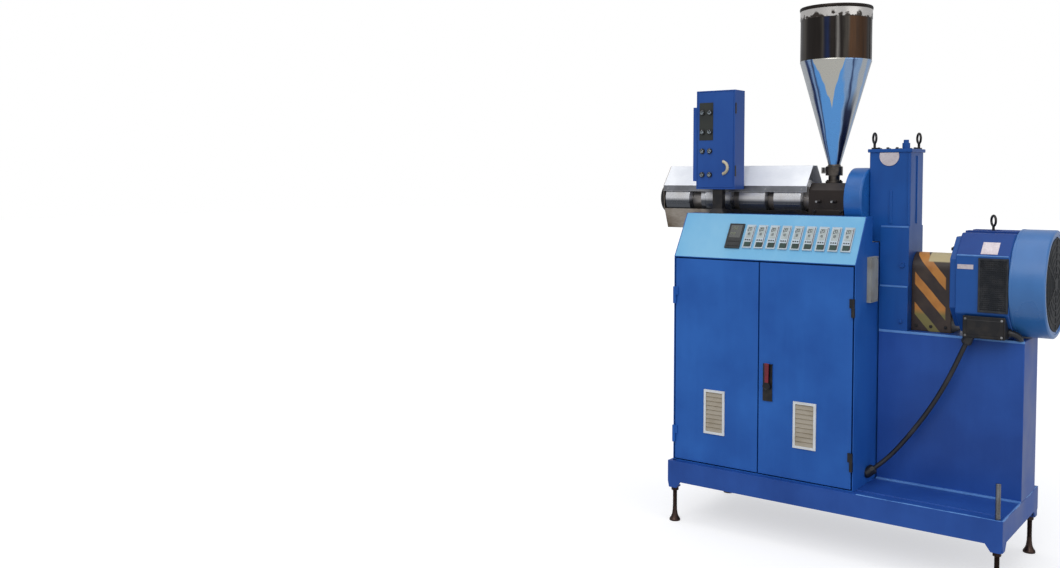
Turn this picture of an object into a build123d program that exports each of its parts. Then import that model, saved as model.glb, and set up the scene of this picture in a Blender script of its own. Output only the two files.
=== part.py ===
from build123d import *
import math
import os

# A small single-screw plastic extruder: a steel cabinet with a sloping
# instrument panel carries the barrel, and a welded pedestal beside it carries
# the gearbox and the motor. Both stand on one base frame with screw feet.
# Millimetres. X runs from the die to the motor, Y from the front to the back
# and Z up from the floor. The origin is on the floor, under the middle.

# Base frame and its screw feet
BASE_LEFT = 26.0
BASE_LENGTH = 1177.0
BASE_DEPTH = 480.0
BASE_HEIGHT = 77.0
GROUND_GAP = 152.0
RAIL_WIDTH = 52.0
RAIL_WALL = 6.0
DECK_PLATE = 6.0
FOOT_INSET = 20.0
STUD_D = 16.0
STUD_HOLE_D = 18.0
STUD_ABOVE_RAIL = 112.0
PAD_D = 40.0
PAD_HEIGHT = 42.0
PAD_LIP = 6.0
LOCKNUT_ACROSS = 24.0
LOCKNUT_HEIGHT = 13.0
GUSSET_DROP = 24.0
GUSSET_SIDE = 32.0

# Cabinet
CAB_LEFT = 37.0
CAB_WIDTH = 688.0
CAB_FRONT = 20.0
CAB_DEPTH = 440.0
SHEET = 3.0
CAB_HEIGHT = 766.0
PANEL_RUN = 95.0
PANEL_RISE = 157.0
LEDGE_DEPTH = 60.0
DECK_DROP = 92.0
FRAME_LIP = 28.0

# Doors
DOOR_THICK = 18.0
DOOR_GAP = 5.0
DOOR_SPLIT = 341.5
DOOR_SKIN = 2.0
HINGE_R = 6.0
HINGE_PIN_R = 3.0
HINGE_LENGTH = 62.0
HINGE_FIT = 0.3
HINGE_LOW = 93.0
HINGE_HIGH = 613.0
HANDLE_FROM_SPLIT = 37.5
HANDLE_UP = 316.0
HANDLE_LEVER = 96.0
HANDLE_WIDTH = 28.0
HANDLE_PLATE_W = 38.0
HANDLE_PLATE_H = 134.0
HANDLE_PLATE_RISE = 12.0
HANDLE_PLATE_T = 3.0
HANDLE_STANDOFF = 5.0
HANDLE_THICK = 9.0
SPINDLE_R = 6.0
VENT_WIDTH = 83.0
VENT_HEIGHT = 162.0
VENT_RIM = 9.0
VENT_PROUD = 5.0
VENT_LEFT_X = 170.5
VENT_FROM_SPLIT = 174.5
VENT_UP = 112.0
LOUVRES = 9

# Instruments on the sloping panel, placed from the panel's left edge
CONTROLLERS = 9
CONTROLLER_W = 34.0
BEZEL_LAP = 4.0
CONTROLLER_H = 94.0
CONTROLLER_PITCH = 45.3
CONTROLLER_FROM_RIGHT = 45.0
CONTROLLER_PROUD = 6.0
CONTROLLER_DEPTH = 60.0
METER_W = 58.0
METER_H = 100.0
METER_TO_CONTROLLER = 57.0
INSTRUMENT_UP = 91.0

# Flat junction box on the right of the cabinet, and the motor cable's glands
SIDE_BOX_DEPTH = 72.0
SIDE_BOX_HEIGHT = 156.0
SIDE_BOX_THICK = 14.0
SIDE_BOX_BACK = 105.0
SIDE_BOX_DROP = 136.0
GLAND_R = 17.0
GLAND_LENGTH = 24.0

# Barrel, its heaters and covers
AXIS_BEHIND_LEDGE = 110.0
AXIS_ABOVE_DECK = 145.0
BARREL_R = 45.0
BORE_R = 22.5
BARREL_OVERHANG = 120.0
FLANGE_R = 56.0
FLANGE_THICK = 25.0
FLANGE_BOLT_PCD = 88.0
FLANGE_BOLTS = 6
FLANGE_HOLE_R = 4.5
FLANGE_HOLE_DEPTH = 18.0
HEATER_R = 75.0
HEATER_FIT = 0.5
HEATERS = 4
FIRST_GAP = 70.0
HEATER_GAP = 34.5
LAST_GAP = 24.0
COVER_SHEET = 2.0
COVER_TOP = 125.0
COVER_FLAT = 20.0
COVER_HALF = 78.0
COVER_SHOULDER = 50.0
COVER_LIP = 22.0
COVER_END_GAP = 6.0
COVER_STOP = 4.0
TROUGH_HALF = 70.0
TROUGH_TOP = -40.0
TROUGH_FOOT = -116.0
TROUGH_FOOT_HALF = 42.0
CRADLE_THICK = 16.0
CRADLE_HALF = 30.0
CRADLE_SLOT_GAP = 2.0

# Feed block and the hopper above it
FEED_LENGTH = 147.0
FEED_HALF_DEPTH = 66.0
FEED_ABOVE_AXIS = 61.0
FEED_CHAMFER = 26.0
THROAT_R = 16.0
NECK_R = 20.0
NECK_HEIGHT = 54.0
NECK_FLANGE_R = 30.0
NECK_FLANGE_T = 7.0
FEED_BORE_R = 24.0
HOPPER_FROM_FEED = 68.0
HOPPER_R = 124.0
HOPPER_SHEET = 2.0
CONE_HEIGHT = 380.0
DRUM_HEIGHT = 188.0
RIM_R = 3.5
GATE_THICK = 5.0
GATE_WIDTH = 38.0
GATE_CLEAR = 0.6
GATE_LAP = 1.5
GATE_TAIL = 11.0
GATE_TAB = 22.0

# Drive: bearing housing, gearbox, pedestal, guard and motor
BEARING_R = 115.0
BEARING_LENGTH = 63.0
BEARING_EASE = 8.0
GEAR_WIDTH = 99.0
GEAR_OVERHANG = 44.0
GEAR_AHEAD = 39.0
GEAR_DEPTH = 140.0
GEAR_STEP = 5.0
GEAR_RISE = 180.0
GEAR_LOWER_HEIGHT = 155.0
GEAR_MIDDLE_LAP = 55.0
GEAR_EASE = 6.0
LID_THICK = 12.0
LID_LAP = 5.0
CAB_TO_DRIVE = 4.0
PEDESTAL_AHEAD = 49.0
PEDESTAL_DEPTH = 192.0
PEDESTAL_HEIGHT = 528.0
EYE_RING_R = 17.0
EYE_BAR_R = 4.0
EYE_COLLAR = 5.0
EYE_COLLAR_R = 10.5
EYE_SHANK_R = 4.5
EYE_SHANK = 21.0
EYE_INSET = 13.0
EYE_TURN = -52.5
MOTOR_EYE_FROM_END = 75.0
CAP_R = 13.0
CAP_INSET = 24.0
CAP_HEIGHT = 32.0
GUARD_LENGTH = 134.0
GUARD_HALF = 58.0
GUARD_HEIGHT = 270.0
MOTOR_BEHIND_AXIS = 50.0
MOTOR_APOTHEM = 165.0
MOTOR_CORNER = 70.0
MOTOR_LENGTH = 166.0
SHIELD_LENGTH = 22.0
SHIELD_SHRINK = 14.0
MOTOR_GAP = 18.0
COWL_R = 178.0
COWL_LENGTH = 107.0
SHAFT_R = 19.0
MOTOR_FOOT_WIDTH = 60.0
MOTOR_FOOT_HALF = 90.0
MOTOR_FOOT_HEIGHT = 16.0
FOOT_FROM_END = 10.0
TERMINAL_W = 130.0
TERMINAL_H = 72.0
TERMINAL_DEPTH = 65.0
TERMINAL_PROUD = 10.0
TERMINAL_FROM_END = 50.0
TERMINAL_GAP = 8.0
TERMINAL_TO_FRAME = 4.0
CONDUIT_R = 11.0
CONDUIT_BEND = 26.0
CONDUIT_PAST = 2.0
CONDUIT_REACH = 56.0
GRILLE_W = 92.0
GRILLE_H = 176.0
GRILLE_FROM_COWL = 2.0
GRILLE_PROUD = 6.0

# Small control box on its post, in front of the barrel
BOX_FROM_CAB = 34.5
BOX_WIDTH = 158.0
BOX_BEHIND_EDGE = 5.0
BOX_DEPTH = 80.0
POST_HEIGHT = 90.0
BOX_HEIGHT = 366.0
POST_W = 40.0
POST_D = 26.0
POST_FROM_BOX = 62.5
POST_FLARE = 12.0
STRIP_W = 14.0
STRIP_H = 276.0
STRIP_UP = 30.0
DIAL_R = 10.0
DIAL_PROUD = 9.0
DIAL_ROWS = (285.0, 213.0, 142.0, 54.0)
DIAL_FIRST = 26.0
DIAL_PITCH = 31.0

# Motor cable
CABLE_D = 16.0

# Places worked out from the sizes above
BASE_TOP = GROUND_GAP + BASE_HEIGHT
BASE_RIGHT = BASE_LEFT + BASE_LENGTH
CAB_RIGHT = CAB_LEFT + CAB_WIDTH
CAB_BACK = CAB_FRONT + CAB_DEPTH
PANEL_FOOT = BASE_TOP + CAB_HEIGHT
PANEL_TOP_Y = CAB_FRONT + PANEL_RUN
PANEL_TOP_Z = PANEL_FOOT + PANEL_RISE
LEDGE_BACK = PANEL_TOP_Y + LEDGE_DEPTH
DECK_TOP = PANEL_TOP_Z - DECK_DROP
INNER_LEFT = CAB_LEFT + SHEET
INNER_RIGHT = CAB_RIGHT - SHEET
DOOR_FOOT = BASE_TOP + SHEET + DOOR_GAP
DOOR_HEAD = PANEL_FOOT - SHEET - DOOR_GAP
SPLIT_X = CAB_LEFT + DOOR_SPLIT

AXIS_Y = LEDGE_BACK + AXIS_BEHIND_LEDGE
AXIS_Z = DECK_TOP + AXIS_ABOVE_DECK
DRIVE_LEFT = CAB_RIGHT + CAB_TO_DRIVE
GEAR_LEFT = DRIVE_LEFT - GEAR_OVERHANG
GEAR_RIGHT = DRIVE_LEFT + GEAR_WIDTH
GEAR_FRONT = AXIS_Y - GEAR_AHEAD
GEAR_BACK = GEAR_FRONT + GEAR_DEPTH
GEAR_TOP = AXIS_Z + GEAR_RISE
FEED_RIGHT = GEAR_LEFT - BEARING_LENGTH
FEED_LEFT = FEED_RIGHT - FEED_LENGTH
FEED_TOP = AXIS_Z + FEED_ABOVE_AXIS
HOPPER_X = FEED_LEFT + HOPPER_FROM_FEED
DIE_END = -(BARREL_OVERHANG + FLANGE_THICK)

PEDESTAL_FRONT = AXIS_Y - PEDESTAL_AHEAD
PEDESTAL_TOP = BASE_TOP + PEDESTAL_HEIGHT
GEAR_LOWER = PEDESTAL_TOP + GEAR_LOWER_HEIGHT
GEAR_SEAT = DECK_TOP + SHEET
GEAR_MIDDLE = GEAR_SEAT + GEAR_MIDDLE_LAP
GUARD_RIGHT = GEAR_RIGHT + GUARD_LENGTH
GUARD_TOP = PEDESTAL_TOP + GUARD_HEIGHT
MOTOR_LEFT = GUARD_RIGHT + MOTOR_GAP
FRAME_LEFT = MOTOR_LEFT + SHIELD_LENGTH
FRAME_RIGHT = FRAME_LEFT + MOTOR_LENGTH
MOTOR_RIGHT = FRAME_RIGHT + COWL_LENGTH
MOTOR_Y = AXIS_Y + MOTOR_BEHIND_AXIS
MOTOR_Z = PEDESTAL_TOP + MOTOR_FOOT_HEIGHT + MOTOR_APOTHEM
TERMINAL_X = MOTOR_LEFT + TERMINAL_FROM_END

BOX_LEFT = CAB_LEFT + BOX_FROM_CAB
BOX_FRONT = PANEL_TOP_Y + BOX_BEHIND_EDGE
BOX_FOOT = PANEL_TOP_Z + POST_HEIGHT
POST_X = BOX_LEFT + POST_FROM_BOX

# The zero of the sizes above, in the frame whose origin is under the machine's middle
X0 = -(DIE_END + MOTOR_RIGHT) / 2
Y0 = -(MOTOR_Y + COWL_R) / 2


def block(x0, x1, y0, y1, z0, z1, mode=Mode.ADD):
    """A box between two faces on each axis, measured from the zero of the sizes."""
    with Locations((X0 + (x0 + x1) / 2, Y0 + (y0 + y1) / 2, (z0 + z1) / 2)):
        Box(x1 - x0, y1 - y0, z1 - z0, mode=mode)


def rod_x(x0, x1, y, z, radius, mode=Mode.ADD):
    """A round bar along X."""
    with Locations(Location((X0 + (x0 + x1) / 2, Y0 + y, z), (0, 90, 0))):
        Cylinder(radius, x1 - x0, mode=mode)


def rod_y(x, y0, y1, z, radius, mode=Mode.ADD):
    """A round bar along Y."""
    with Locations(Location((X0 + x, Y0 + (y0 + y1) / 2, z), (90, 0, 0))):
        Cylinder(radius, y1 - y0, mode=mode)


def rod_z(x, y, z0, z1, radius, mode=Mode.ADD):
    """A round bar along Z."""
    with Locations((X0 + x, Y0 + y, (z0 + z1) / 2)):
        Cylinder(radius, z1 - z0, mode=mode)


def side_profile(x0, x1, points, mode=Mode.ADD):
    """A side outline of (y, z) points, drawn at x0 and pulled along to x1."""
    with BuildSketch(Plane.YZ.offset(X0 + x0)) as outline:
        with BuildLine():
            Polyline(*[(Y0 + y, z) for y, z in points], close=True)
        make_face()
    extrude(outline.sketch, amount=x1 - x0, mode=mode)


def front_profile(y0, y1, points, mode=Mode.ADD):
    """A front outline of (x, z) points, drawn at y0 and pulled back to y1."""
    with BuildSketch(Plane((0, Y0 + y0, 0), x_dir=(1, 0, 0), z_dir=(0, -1, 0))) as outline:
        with BuildLine():
            Polyline(*[(X0 + x, z) for x, z in points], close=True)
        make_face()
    extrude(outline.sketch, amount=-(y1 - y0), mode=mode)


def save(part, name):
    """Name a finished piece and write it as its own file."""
    part.part.label = name
    export_step(part.part, f"parts/{name}.step")


os.makedirs("parts", exist_ok=True)

# Base frame: two long channel rails, two cross rails and a deck plate
FOOT_SPOTS = [(x, y) for x in (BASE_LEFT + FOOT_INSET, BASE_RIGHT - FOOT_INSET)
              for y in (FOOT_INSET, BASE_DEPTH - FOOT_INSET)]


FOOT_HALF = STUD_HOLE_D / 2 + RAIL_WALL
FOOT_PLATE_Z = GROUND_GAP - GUSSET_DROP


def rail_outline(start, length):
    """The face of a rail, with a gusset tapering down to a foot at each end."""
    half = [(FOOT_INSET + GUSSET_SIDE, GROUND_GAP), (FOOT_INSET + FOOT_HALF, FOOT_PLATE_Z),
            (FOOT_INSET - FOOT_HALF, FOOT_PLATE_Z), (0, GROUND_GAP), (0, BASE_TOP)]
    return ([(start + s, z) for s, z in half]
            + [(start + length - s, z) for s, z in reversed(half)])


def long_rail(y_outer, y_inner):
    """A channel rail along X, open to the middle, with foot plates below its ends."""
    web = RAIL_WALL if y_inner > y_outer else -RAIL_WALL
    low_y, high_y = sorted((y_outer, y_inner))
    front_profile(*sorted((y_outer, y_outer + web)), rail_outline(BASE_LEFT, BASE_LENGTH))
    for z in (GROUND_GAP, BASE_TOP - RAIL_WALL):
        block(BASE_LEFT + RAIL_WALL, BASE_RIGHT - RAIL_WALL, low_y, high_y, z, z + RAIL_WALL)
    y_far = y_outer + math.copysign(FOOT_INSET + FOOT_HALF, web)
    for x0, x1 in ((BASE_LEFT + RAIL_WALL, BASE_LEFT + FOOT_INSET + FOOT_HALF),
                   (BASE_RIGHT - FOOT_INSET - FOOT_HALF, BASE_RIGHT - RAIL_WALL)):
        block(x0, x1, *sorted((y_outer, y_far)), FOOT_PLATE_Z, FOOT_PLATE_Z + RAIL_WALL)
    for x, y in FOOT_SPOTS:
        rod_z(x, y, FOOT_PLATE_Z - 1, BASE_TOP + 1, STUD_HOLE_D / 2, mode=Mode.SUBTRACT)


with BuildPart() as base_front_rail:
    long_rail(0, RAIL_WIDTH)
save(base_front_rail, "base_front_rail")

with BuildPart() as base_back_rail:
    long_rail(BASE_DEPTH, BASE_DEPTH - RAIL_WIDTH)
save(base_back_rail, "base_back_rail")

# End plates close the rails' open ends, with the same gussets
with BuildPart() as base_end_plates:
    for x0, x1 in ((BASE_LEFT, BASE_LEFT + RAIL_WALL), (BASE_RIGHT - RAIL_WALL, BASE_RIGHT)):
        side_profile(x0, x1, rail_outline(0, BASE_DEPTH))
        for y0, y1 in ((-1, RAIL_WALL), (BASE_DEPTH - RAIL_WALL, BASE_DEPTH + 1)):
            block(x0, x1, y0, y1, 0, BASE_TOP + 1, mode=Mode.SUBTRACT)
save(base_end_plates, "base_end_plates")

with BuildPart() as base_deck:
    block(BASE_LEFT + RAIL_WALL, BASE_RIGHT - RAIL_WALL, RAIL_WIDTH, BASE_DEPTH - RAIL_WIDTH,
          BASE_TOP - DECK_PLATE, BASE_TOP)
save(base_deck, "base_deck")

# Screw feet: flared pad, threaded stud and lock nut under each corner
with BuildPart() as screw_feet:
    for x, y in FOOT_SPOTS:
        with BuildSketch(Plane((X0 + x, Y0 + y, 0), x_dir=(1, 0, 0), z_dir=(0, -1, 0))):
            with BuildLine():
                Polyline((STUD_D / 2, PAD_HEIGHT), (0, PAD_HEIGHT), (0, 0), (PAD_D / 2, 0),
                         (PAD_D / 2, PAD_LIP))
                TangentArc((PAD_D / 2, PAD_LIP), (STUD_D / 2, PAD_HEIGHT), tangent=(-1, 0.15))
            make_face()
        revolve(axis=Axis((X0 + x, Y0 + y, 0), (0, 0, 1)))
        bare_corner = x > BASE_LENGTH / 2 and y < BASE_DEPTH / 2
        top = BASE_TOP + STUD_ABOVE_RAIL if bare_corner else BASE_TOP - LOCKNUT_HEIGHT
        rod_z(x, y, PAD_HEIGHT / 2, top, STUD_D / 2)
        nut_top = FOOT_PLATE_Z
        with BuildSketch(Plane((X0 + x, Y0 + y, nut_top - LOCKNUT_HEIGHT))):
            RegularPolygon(LOCKNUT_ACROSS / 2, 6, major_radius=False)
        extrude(amount=LOCKNUT_HEIGHT)
save(screw_feet, "screw_feet")

# Cabinet shell: two side walls, back, floor, bent top and sloping panel
CAB_OUTLINE = [(CAB_FRONT, BASE_TOP), (CAB_FRONT, PANEL_FOOT), (PANEL_TOP_Y, PANEL_TOP_Z),
               (LEDGE_BACK, PANEL_TOP_Z), (LEDGE_BACK, DECK_TOP), (CAB_BACK, DECK_TOP),
               (CAB_BACK, BASE_TOP)]

with BuildPart() as cabinet_left_wall:
    side_profile(CAB_LEFT, INNER_LEFT, CAB_OUTLINE)
save(cabinet_left_wall, "cabinet_left_wall")

with BuildPart() as cabinet_right_wall:
    side_profile(INNER_RIGHT, CAB_RIGHT, CAB_OUTLINE)
save(cabinet_right_wall, "cabinet_right_wall")

with BuildPart() as cabinet_back_wall:
    block(INNER_LEFT, INNER_RIGHT, CAB_BACK - SHEET, CAB_BACK, BASE_TOP + SHEET, DECK_TOP - SHEET)
save(cabinet_back_wall, "cabinet_back_wall")

with BuildPart() as cabinet_floor:
    block(INNER_LEFT, INNER_RIGHT, CAB_FRONT, CAB_BACK, BASE_TOP, BASE_TOP + SHEET)
save(cabinet_floor, "cabinet_floor")

with BuildPart() as cabinet_top:
    side_profile(INNER_LEFT, INNER_RIGHT, [
        (PANEL_TOP_Y, PANEL_TOP_Z), (LEDGE_BACK, PANEL_TOP_Z), (LEDGE_BACK, DECK_TOP),
        (CAB_BACK, DECK_TOP), (CAB_BACK, DECK_TOP - SHEET), (LEDGE_BACK - SHEET, DECK_TOP - SHEET),
        (LEDGE_BACK - SHEET, PANEL_TOP_Z - SHEET), (PANEL_TOP_Y, PANEL_TOP_Z - SHEET)])
save(cabinet_top, "cabinet_top")

# The door frame stands behind the doors, and its head closes the gap above them
FRAME_FRONT = CAB_FRONT + DOOR_THICK + DOOR_GAP
with BuildPart() as cabinet_door_frame:
    block(INNER_LEFT, INNER_RIGHT, FRAME_FRONT, FRAME_FRONT + SHEET,
          BASE_TOP + SHEET, PANEL_FOOT - SHEET)
    block(INNER_LEFT + FRAME_LIP, INNER_RIGHT - FRAME_LIP, FRAME_FRONT, FRAME_FRONT + SHEET,
          BASE_TOP + SHEET + FRAME_LIP, PANEL_FOOT - SHEET - FRAME_LIP, mode=Mode.SUBTRACT)
    block(INNER_LEFT, INNER_RIGHT, CAB_FRONT, FRAME_FRONT + SHEET, PANEL_FOOT - SHEET, PANEL_FOOT)
save(cabinet_door_frame, "cabinet_door_frame")

# Sloping panel, with a cut-out behind each instrument
SLOPE = Plane((X0 + CAB_LEFT, Y0 + CAB_FRONT, PANEL_FOOT), x_dir=(1, 0, 0),
              z_dir=(0, -PANEL_RISE, PANEL_RUN))
INSTRUMENT_SPOTS = [CAB_WIDTH - CONTROLLER_FROM_RIGHT - i * CONTROLLER_PITCH
                    for i in range(CONTROLLERS)]
METER_X = min(INSTRUMENT_SPOTS) - METER_TO_CONTROLLER
CUTOUT_FIT = 1.0


def on_slope(x, up, width, height, start, depth, mode=Mode.ADD):
    """A box on the sloping panel, from start above its face down by depth."""
    with BuildSketch(SLOPE.offset(start)) as outline:
        with Locations((x, up)):
            Rectangle(width, height)
    extrude(outline.sketch, amount=-depth, mode=mode)


with BuildPart() as control_panel:
    side_profile(INNER_LEFT, INNER_RIGHT, [
        (CAB_FRONT, PANEL_FOOT), (PANEL_TOP_Y, PANEL_TOP_Z), (PANEL_TOP_Y, PANEL_TOP_Z - SHEET * 2),
        (CAB_FRONT + SHEET * 1.3, PANEL_FOOT)])
    for spot in INSTRUMENT_SPOTS:
        on_slope(spot, INSTRUMENT_UP, CONTROLLER_W - BEZEL_LAP, CONTROLLER_H - BEZEL_LAP,
                 1, SHEET * 4, Mode.SUBTRACT)
    on_slope(METER_X, INSTRUMENT_UP, METER_W - BEZEL_LAP, METER_H - BEZEL_LAP,
             1, SHEET * 4, Mode.SUBTRACT)
save(control_panel, "control_panel")

with BuildPart() as temperature_controllers:
    for spot in INSTRUMENT_SPOTS:
        on_slope(spot, INSTRUMENT_UP, CONTROLLER_W, CONTROLLER_H, CONTROLLER_PROUD, CONTROLLER_PROUD)
        on_slope(spot, INSTRUMENT_UP, CONTROLLER_W - BEZEL_LAP - CUTOUT_FIT,
                 CONTROLLER_H - BEZEL_LAP - CUTOUT_FIT,
                 CONTROLLER_PROUD / 2, CONTROLLER_DEPTH)
save(temperature_controllers, "temperature_controllers")

with BuildPart() as main_meter:
    on_slope(METER_X, INSTRUMENT_UP, METER_W, METER_H, CONTROLLER_PROUD, CONTROLLER_PROUD)
    on_slope(METER_X, INSTRUMENT_UP, METER_W - BEZEL_LAP - CUTOUT_FIT, METER_H - BEZEL_LAP - CUTOUT_FIT,
             CONTROLLER_PROUD / 2, CONTROLLER_DEPTH)
save(main_meter, "main_meter")

# Doors: folded pans, hung on pins outside their outer edges
HINGE_Y = CAB_FRONT - HINGE_R
LEFT_PIN_X = INNER_LEFT + DOOR_GAP / 2
RIGHT_PIN_X = INNER_RIGHT - DOOR_GAP / 2
HINGE_SPOTS = (DOOR_FOOT + HINGE_LOW, DOOR_FOOT + HINGE_HIGH)
VENT_BOTTOM = DOOR_FOOT + VENT_UP
HANDLE_PIVOT_Z = DOOR_FOOT + HANDLE_UP
KNUCKLE = HINGE_LENGTH / 2


def vent_opening(vent_x):
    """The hole in the door behind a vent grille."""
    block(vent_x - VENT_WIDTH / 2 + VENT_RIM, vent_x + VENT_WIDTH / 2 - VENT_RIM,
          CAB_FRONT - 1, CAB_FRONT + DOOR_THICK + 1,
          VENT_BOTTOM + VENT_RIM, VENT_BOTTOM + VENT_HEIGHT - VENT_RIM, mode=Mode.SUBTRACT)


def door(x0, x1, pin_x, vent_x):
    """A folded door with the upper knuckle of each hinge."""
    block(x0, x1, CAB_FRONT, CAB_FRONT + DOOR_THICK, DOOR_FOOT, DOOR_HEAD)
    block(x0 + DOOR_SKIN, x1 - DOOR_SKIN, CAB_FRONT + DOOR_SKIN, CAB_FRONT + DOOR_THICK + 1,
          DOOR_FOOT + DOOR_SKIN, DOOR_HEAD - DOOR_SKIN, mode=Mode.SUBTRACT)
    vent_opening(vent_x)
    edge_x = x0 if pin_x < x0 else x1
    inward = DOOR_GAP * 2 if edge_x == x0 else -DOOR_GAP * 2
    for z in HINGE_SPOTS:
        rod_z(pin_x, HINGE_Y, z + HINGE_FIT, z + KNUCKLE, HINGE_R)
        block(*sorted((pin_x, edge_x + inward)), HINGE_Y, CAB_FRONT + DOOR_SKIN / 2,
              z + HINGE_FIT, z + KNUCKLE)
        rod_z(pin_x, HINGE_Y, z - 1, z + KNUCKLE + 1, HINGE_PIN_R + HINGE_FIT, mode=Mode.SUBTRACT)


with BuildPart() as door_left:
    door(INNER_LEFT + DOOR_GAP, SPLIT_X - DOOR_GAP / 2, LEFT_PIN_X, CAB_LEFT + VENT_LEFT_X)
save(door_left, "door_left")

HANDLE_X = SPLIT_X + HANDLE_FROM_SPLIT
PLATE_FRONT = CAB_FRONT - HANDLE_PLATE_T
PLATE_Z = HANDLE_PIVOT_Z + HANDLE_PLATE_RISE
with BuildPart() as door_right:
    block(HANDLE_X - HANDLE_PLATE_W / 2, HANDLE_X + HANDLE_PLATE_W / 2, PLATE_FRONT, CAB_FRONT,
          PLATE_Z - HANDLE_PLATE_H / 2, PLATE_Z + HANDLE_PLATE_H / 2)
    fillet(door_right.edges().filter_by(Axis.Y), radius=HANDLE_PLATE_W / 4)
    door(SPLIT_X + DOOR_GAP / 2, INNER_RIGHT - DOOR_GAP, RIGHT_PIN_X, SPLIT_X + VENT_FROM_SPLIT)
    rod_y(HANDLE_X, PLATE_FRONT - 1, CAB_FRONT + DOOR_THICK, HANDLE_PIVOT_Z,
          SPINDLE_R + HINGE_FIT, mode=Mode.SUBTRACT)
save(door_right, "door_right")

# Fixed half of each hinge: lower knuckle, pin and a leaf on the wall's front edge
with BuildPart() as door_hinges:
    for pin_x, wall_x in ((LEFT_PIN_X, CAB_LEFT), (RIGHT_PIN_X, CAB_RIGHT)):
        for z in HINGE_SPOTS:
            rod_z(pin_x, HINGE_Y, z - KNUCKLE, z, HINGE_R)
            rod_z(pin_x, HINGE_Y, z - 1, z + KNUCKLE, HINGE_PIN_R)
            block(*sorted((pin_x, wall_x)), HINGE_Y, CAB_FRONT, z - KNUCKLE, z)
save(door_hinges, "door_hinges")

# Door handle: a lever on a spindle, standing off the plate on the right door
with BuildPart() as door_handle:
    lever_back = PLATE_FRONT - HANDLE_STANDOFF
    block(HANDLE_X - HANDLE_WIDTH / 2, HANDLE_X + HANDLE_WIDTH / 2,
          lever_back - HANDLE_THICK, lever_back,
          HANDLE_PIVOT_Z - HANDLE_WIDTH / 2, HANDLE_PIVOT_Z + HANDLE_LEVER - HANDLE_WIDTH / 2)
    fillet(door_handle.edges().filter_by(Axis.Y), radius=HANDLE_WIDTH * 0.45)
    rod_y(HANDLE_X, lever_back - 1, CAB_FRONT + DOOR_THICK, HANDLE_PIVOT_Z, SPINDLE_R)
save(door_handle, "door_handle")


# Vent grilles: a rim and angled louvre blades in front of a hole in each door
def vent(vent_x):
    """A louvred grille whose rim laps the door round the hole."""
    x0, x1 = vent_x - VENT_WIDTH / 2, vent_x + VENT_WIDTH / 2
    z0, z1 = VENT_BOTTOM, VENT_BOTTOM + VENT_HEIGHT
    block(x0, x1, CAB_FRONT - VENT_PROUD, CAB_FRONT, z0, z1)
    block(x0 + VENT_RIM, x1 - VENT_RIM, CAB_FRONT - VENT_PROUD - 1, CAB_FRONT + 1,
          z0 + VENT_RIM, z1 - VENT_RIM, mode=Mode.SUBTRACT)
    pitch = (VENT_HEIGHT - 2 * VENT_RIM) / LOUVRES
    for i in range(LOUVRES):
        z = z0 + VENT_RIM + pitch * i
        side_profile(x0 + VENT_RIM / 2, x1 - VENT_RIM / 2, [
            (CAB_FRONT - VENT_PROUD + 1, z), (CAB_FRONT - VENT_PROUD + 2, z),
            (CAB_FRONT, z + pitch * 0.85), (CAB_FRONT - 1, z + pitch * 0.85)])


for name, vent_x in (("vent_left", CAB_LEFT + VENT_LEFT_X), ("vent_right", SPLIT_X + VENT_FROM_SPLIT)):
    with BuildPart() as vent_grille:
        vent(vent_x)
    save(vent_grille, name)

# Flat junction box on the cabinet's right wall
with BuildPart() as side_box:
    side_box_front = CAB_FRONT + SIDE_BOX_BACK
    side_box_foot = PANEL_FOOT - SIDE_BOX_DROP
    block(CAB_RIGHT, CAB_RIGHT + SIDE_BOX_THICK, side_box_front, side_box_front + SIDE_BOX_DEPTH,
          side_box_foot, side_box_foot + SIDE_BOX_HEIGHT)
save(side_box, "side_box")

# Barrel, die flange, heater bands
with BuildPart() as barrel:
    rod_x(-BARREL_OVERHANG, FEED_LEFT, AXIS_Y, AXIS_Z, BARREL_R)
    rod_x(-BARREL_OVERHANG - 1, FEED_LEFT + 1, AXIS_Y, AXIS_Z, BORE_R, mode=Mode.SUBTRACT)
save(barrel, "barrel")

with BuildPart() as die_flange:
    rod_x(DIE_END, -BARREL_OVERHANG, AXIS_Y, AXIS_Z, FLANGE_R)
    rod_x(DIE_END - 1, -BARREL_OVERHANG + 1, AXIS_Y, AXIS_Z, BORE_R, mode=Mode.SUBTRACT)
    with BuildSketch(Plane((X0 + DIE_END, Y0 + AXIS_Y, AXIS_Z), x_dir=(0, 1, 0), z_dir=(1, 0, 0))):
        with PolarLocations(FLANGE_BOLT_PCD / 2, FLANGE_BOLTS):
            Circle(FLANGE_HOLE_R)
    extrude(amount=FLANGE_HOLE_DEPTH, mode=Mode.SUBTRACT)
save(die_flange, "die_flange")

COVER_LEFT = -BARREL_OVERHANG + COVER_SHEET
COVER_RIGHT = FEED_LEFT - COVER_STOP
HEATER_LENGTH = (COVER_RIGHT - COVER_LEFT - COVER_END_GAP - FIRST_GAP
                 - (HEATERS - 2) * HEATER_GAP - LAST_GAP) / HEATERS
HEATER_STARTS = [COVER_LEFT + COVER_END_GAP + i * (HEATER_LENGTH + HEATER_GAP)
                 + (FIRST_GAP - HEATER_GAP if i else 0) for i in range(HEATERS)]
CRADLE_X = HEATER_STARTS[0] + HEATER_LENGTH + (FIRST_GAP - CRADLE_THICK) / 2
with BuildPart() as heater_bands:
    for left in HEATER_STARTS:
        rod_x(left, left + HEATER_LENGTH, AXIS_Y, AXIS_Z, HEATER_R)
        rod_x(left - 1, left + HEATER_LENGTH + 1, AXIS_Y, AXIS_Z, BARREL_R + HEATER_FIT,
              mode=Mode.SUBTRACT)
save(heater_bands, "heater_bands")


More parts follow.
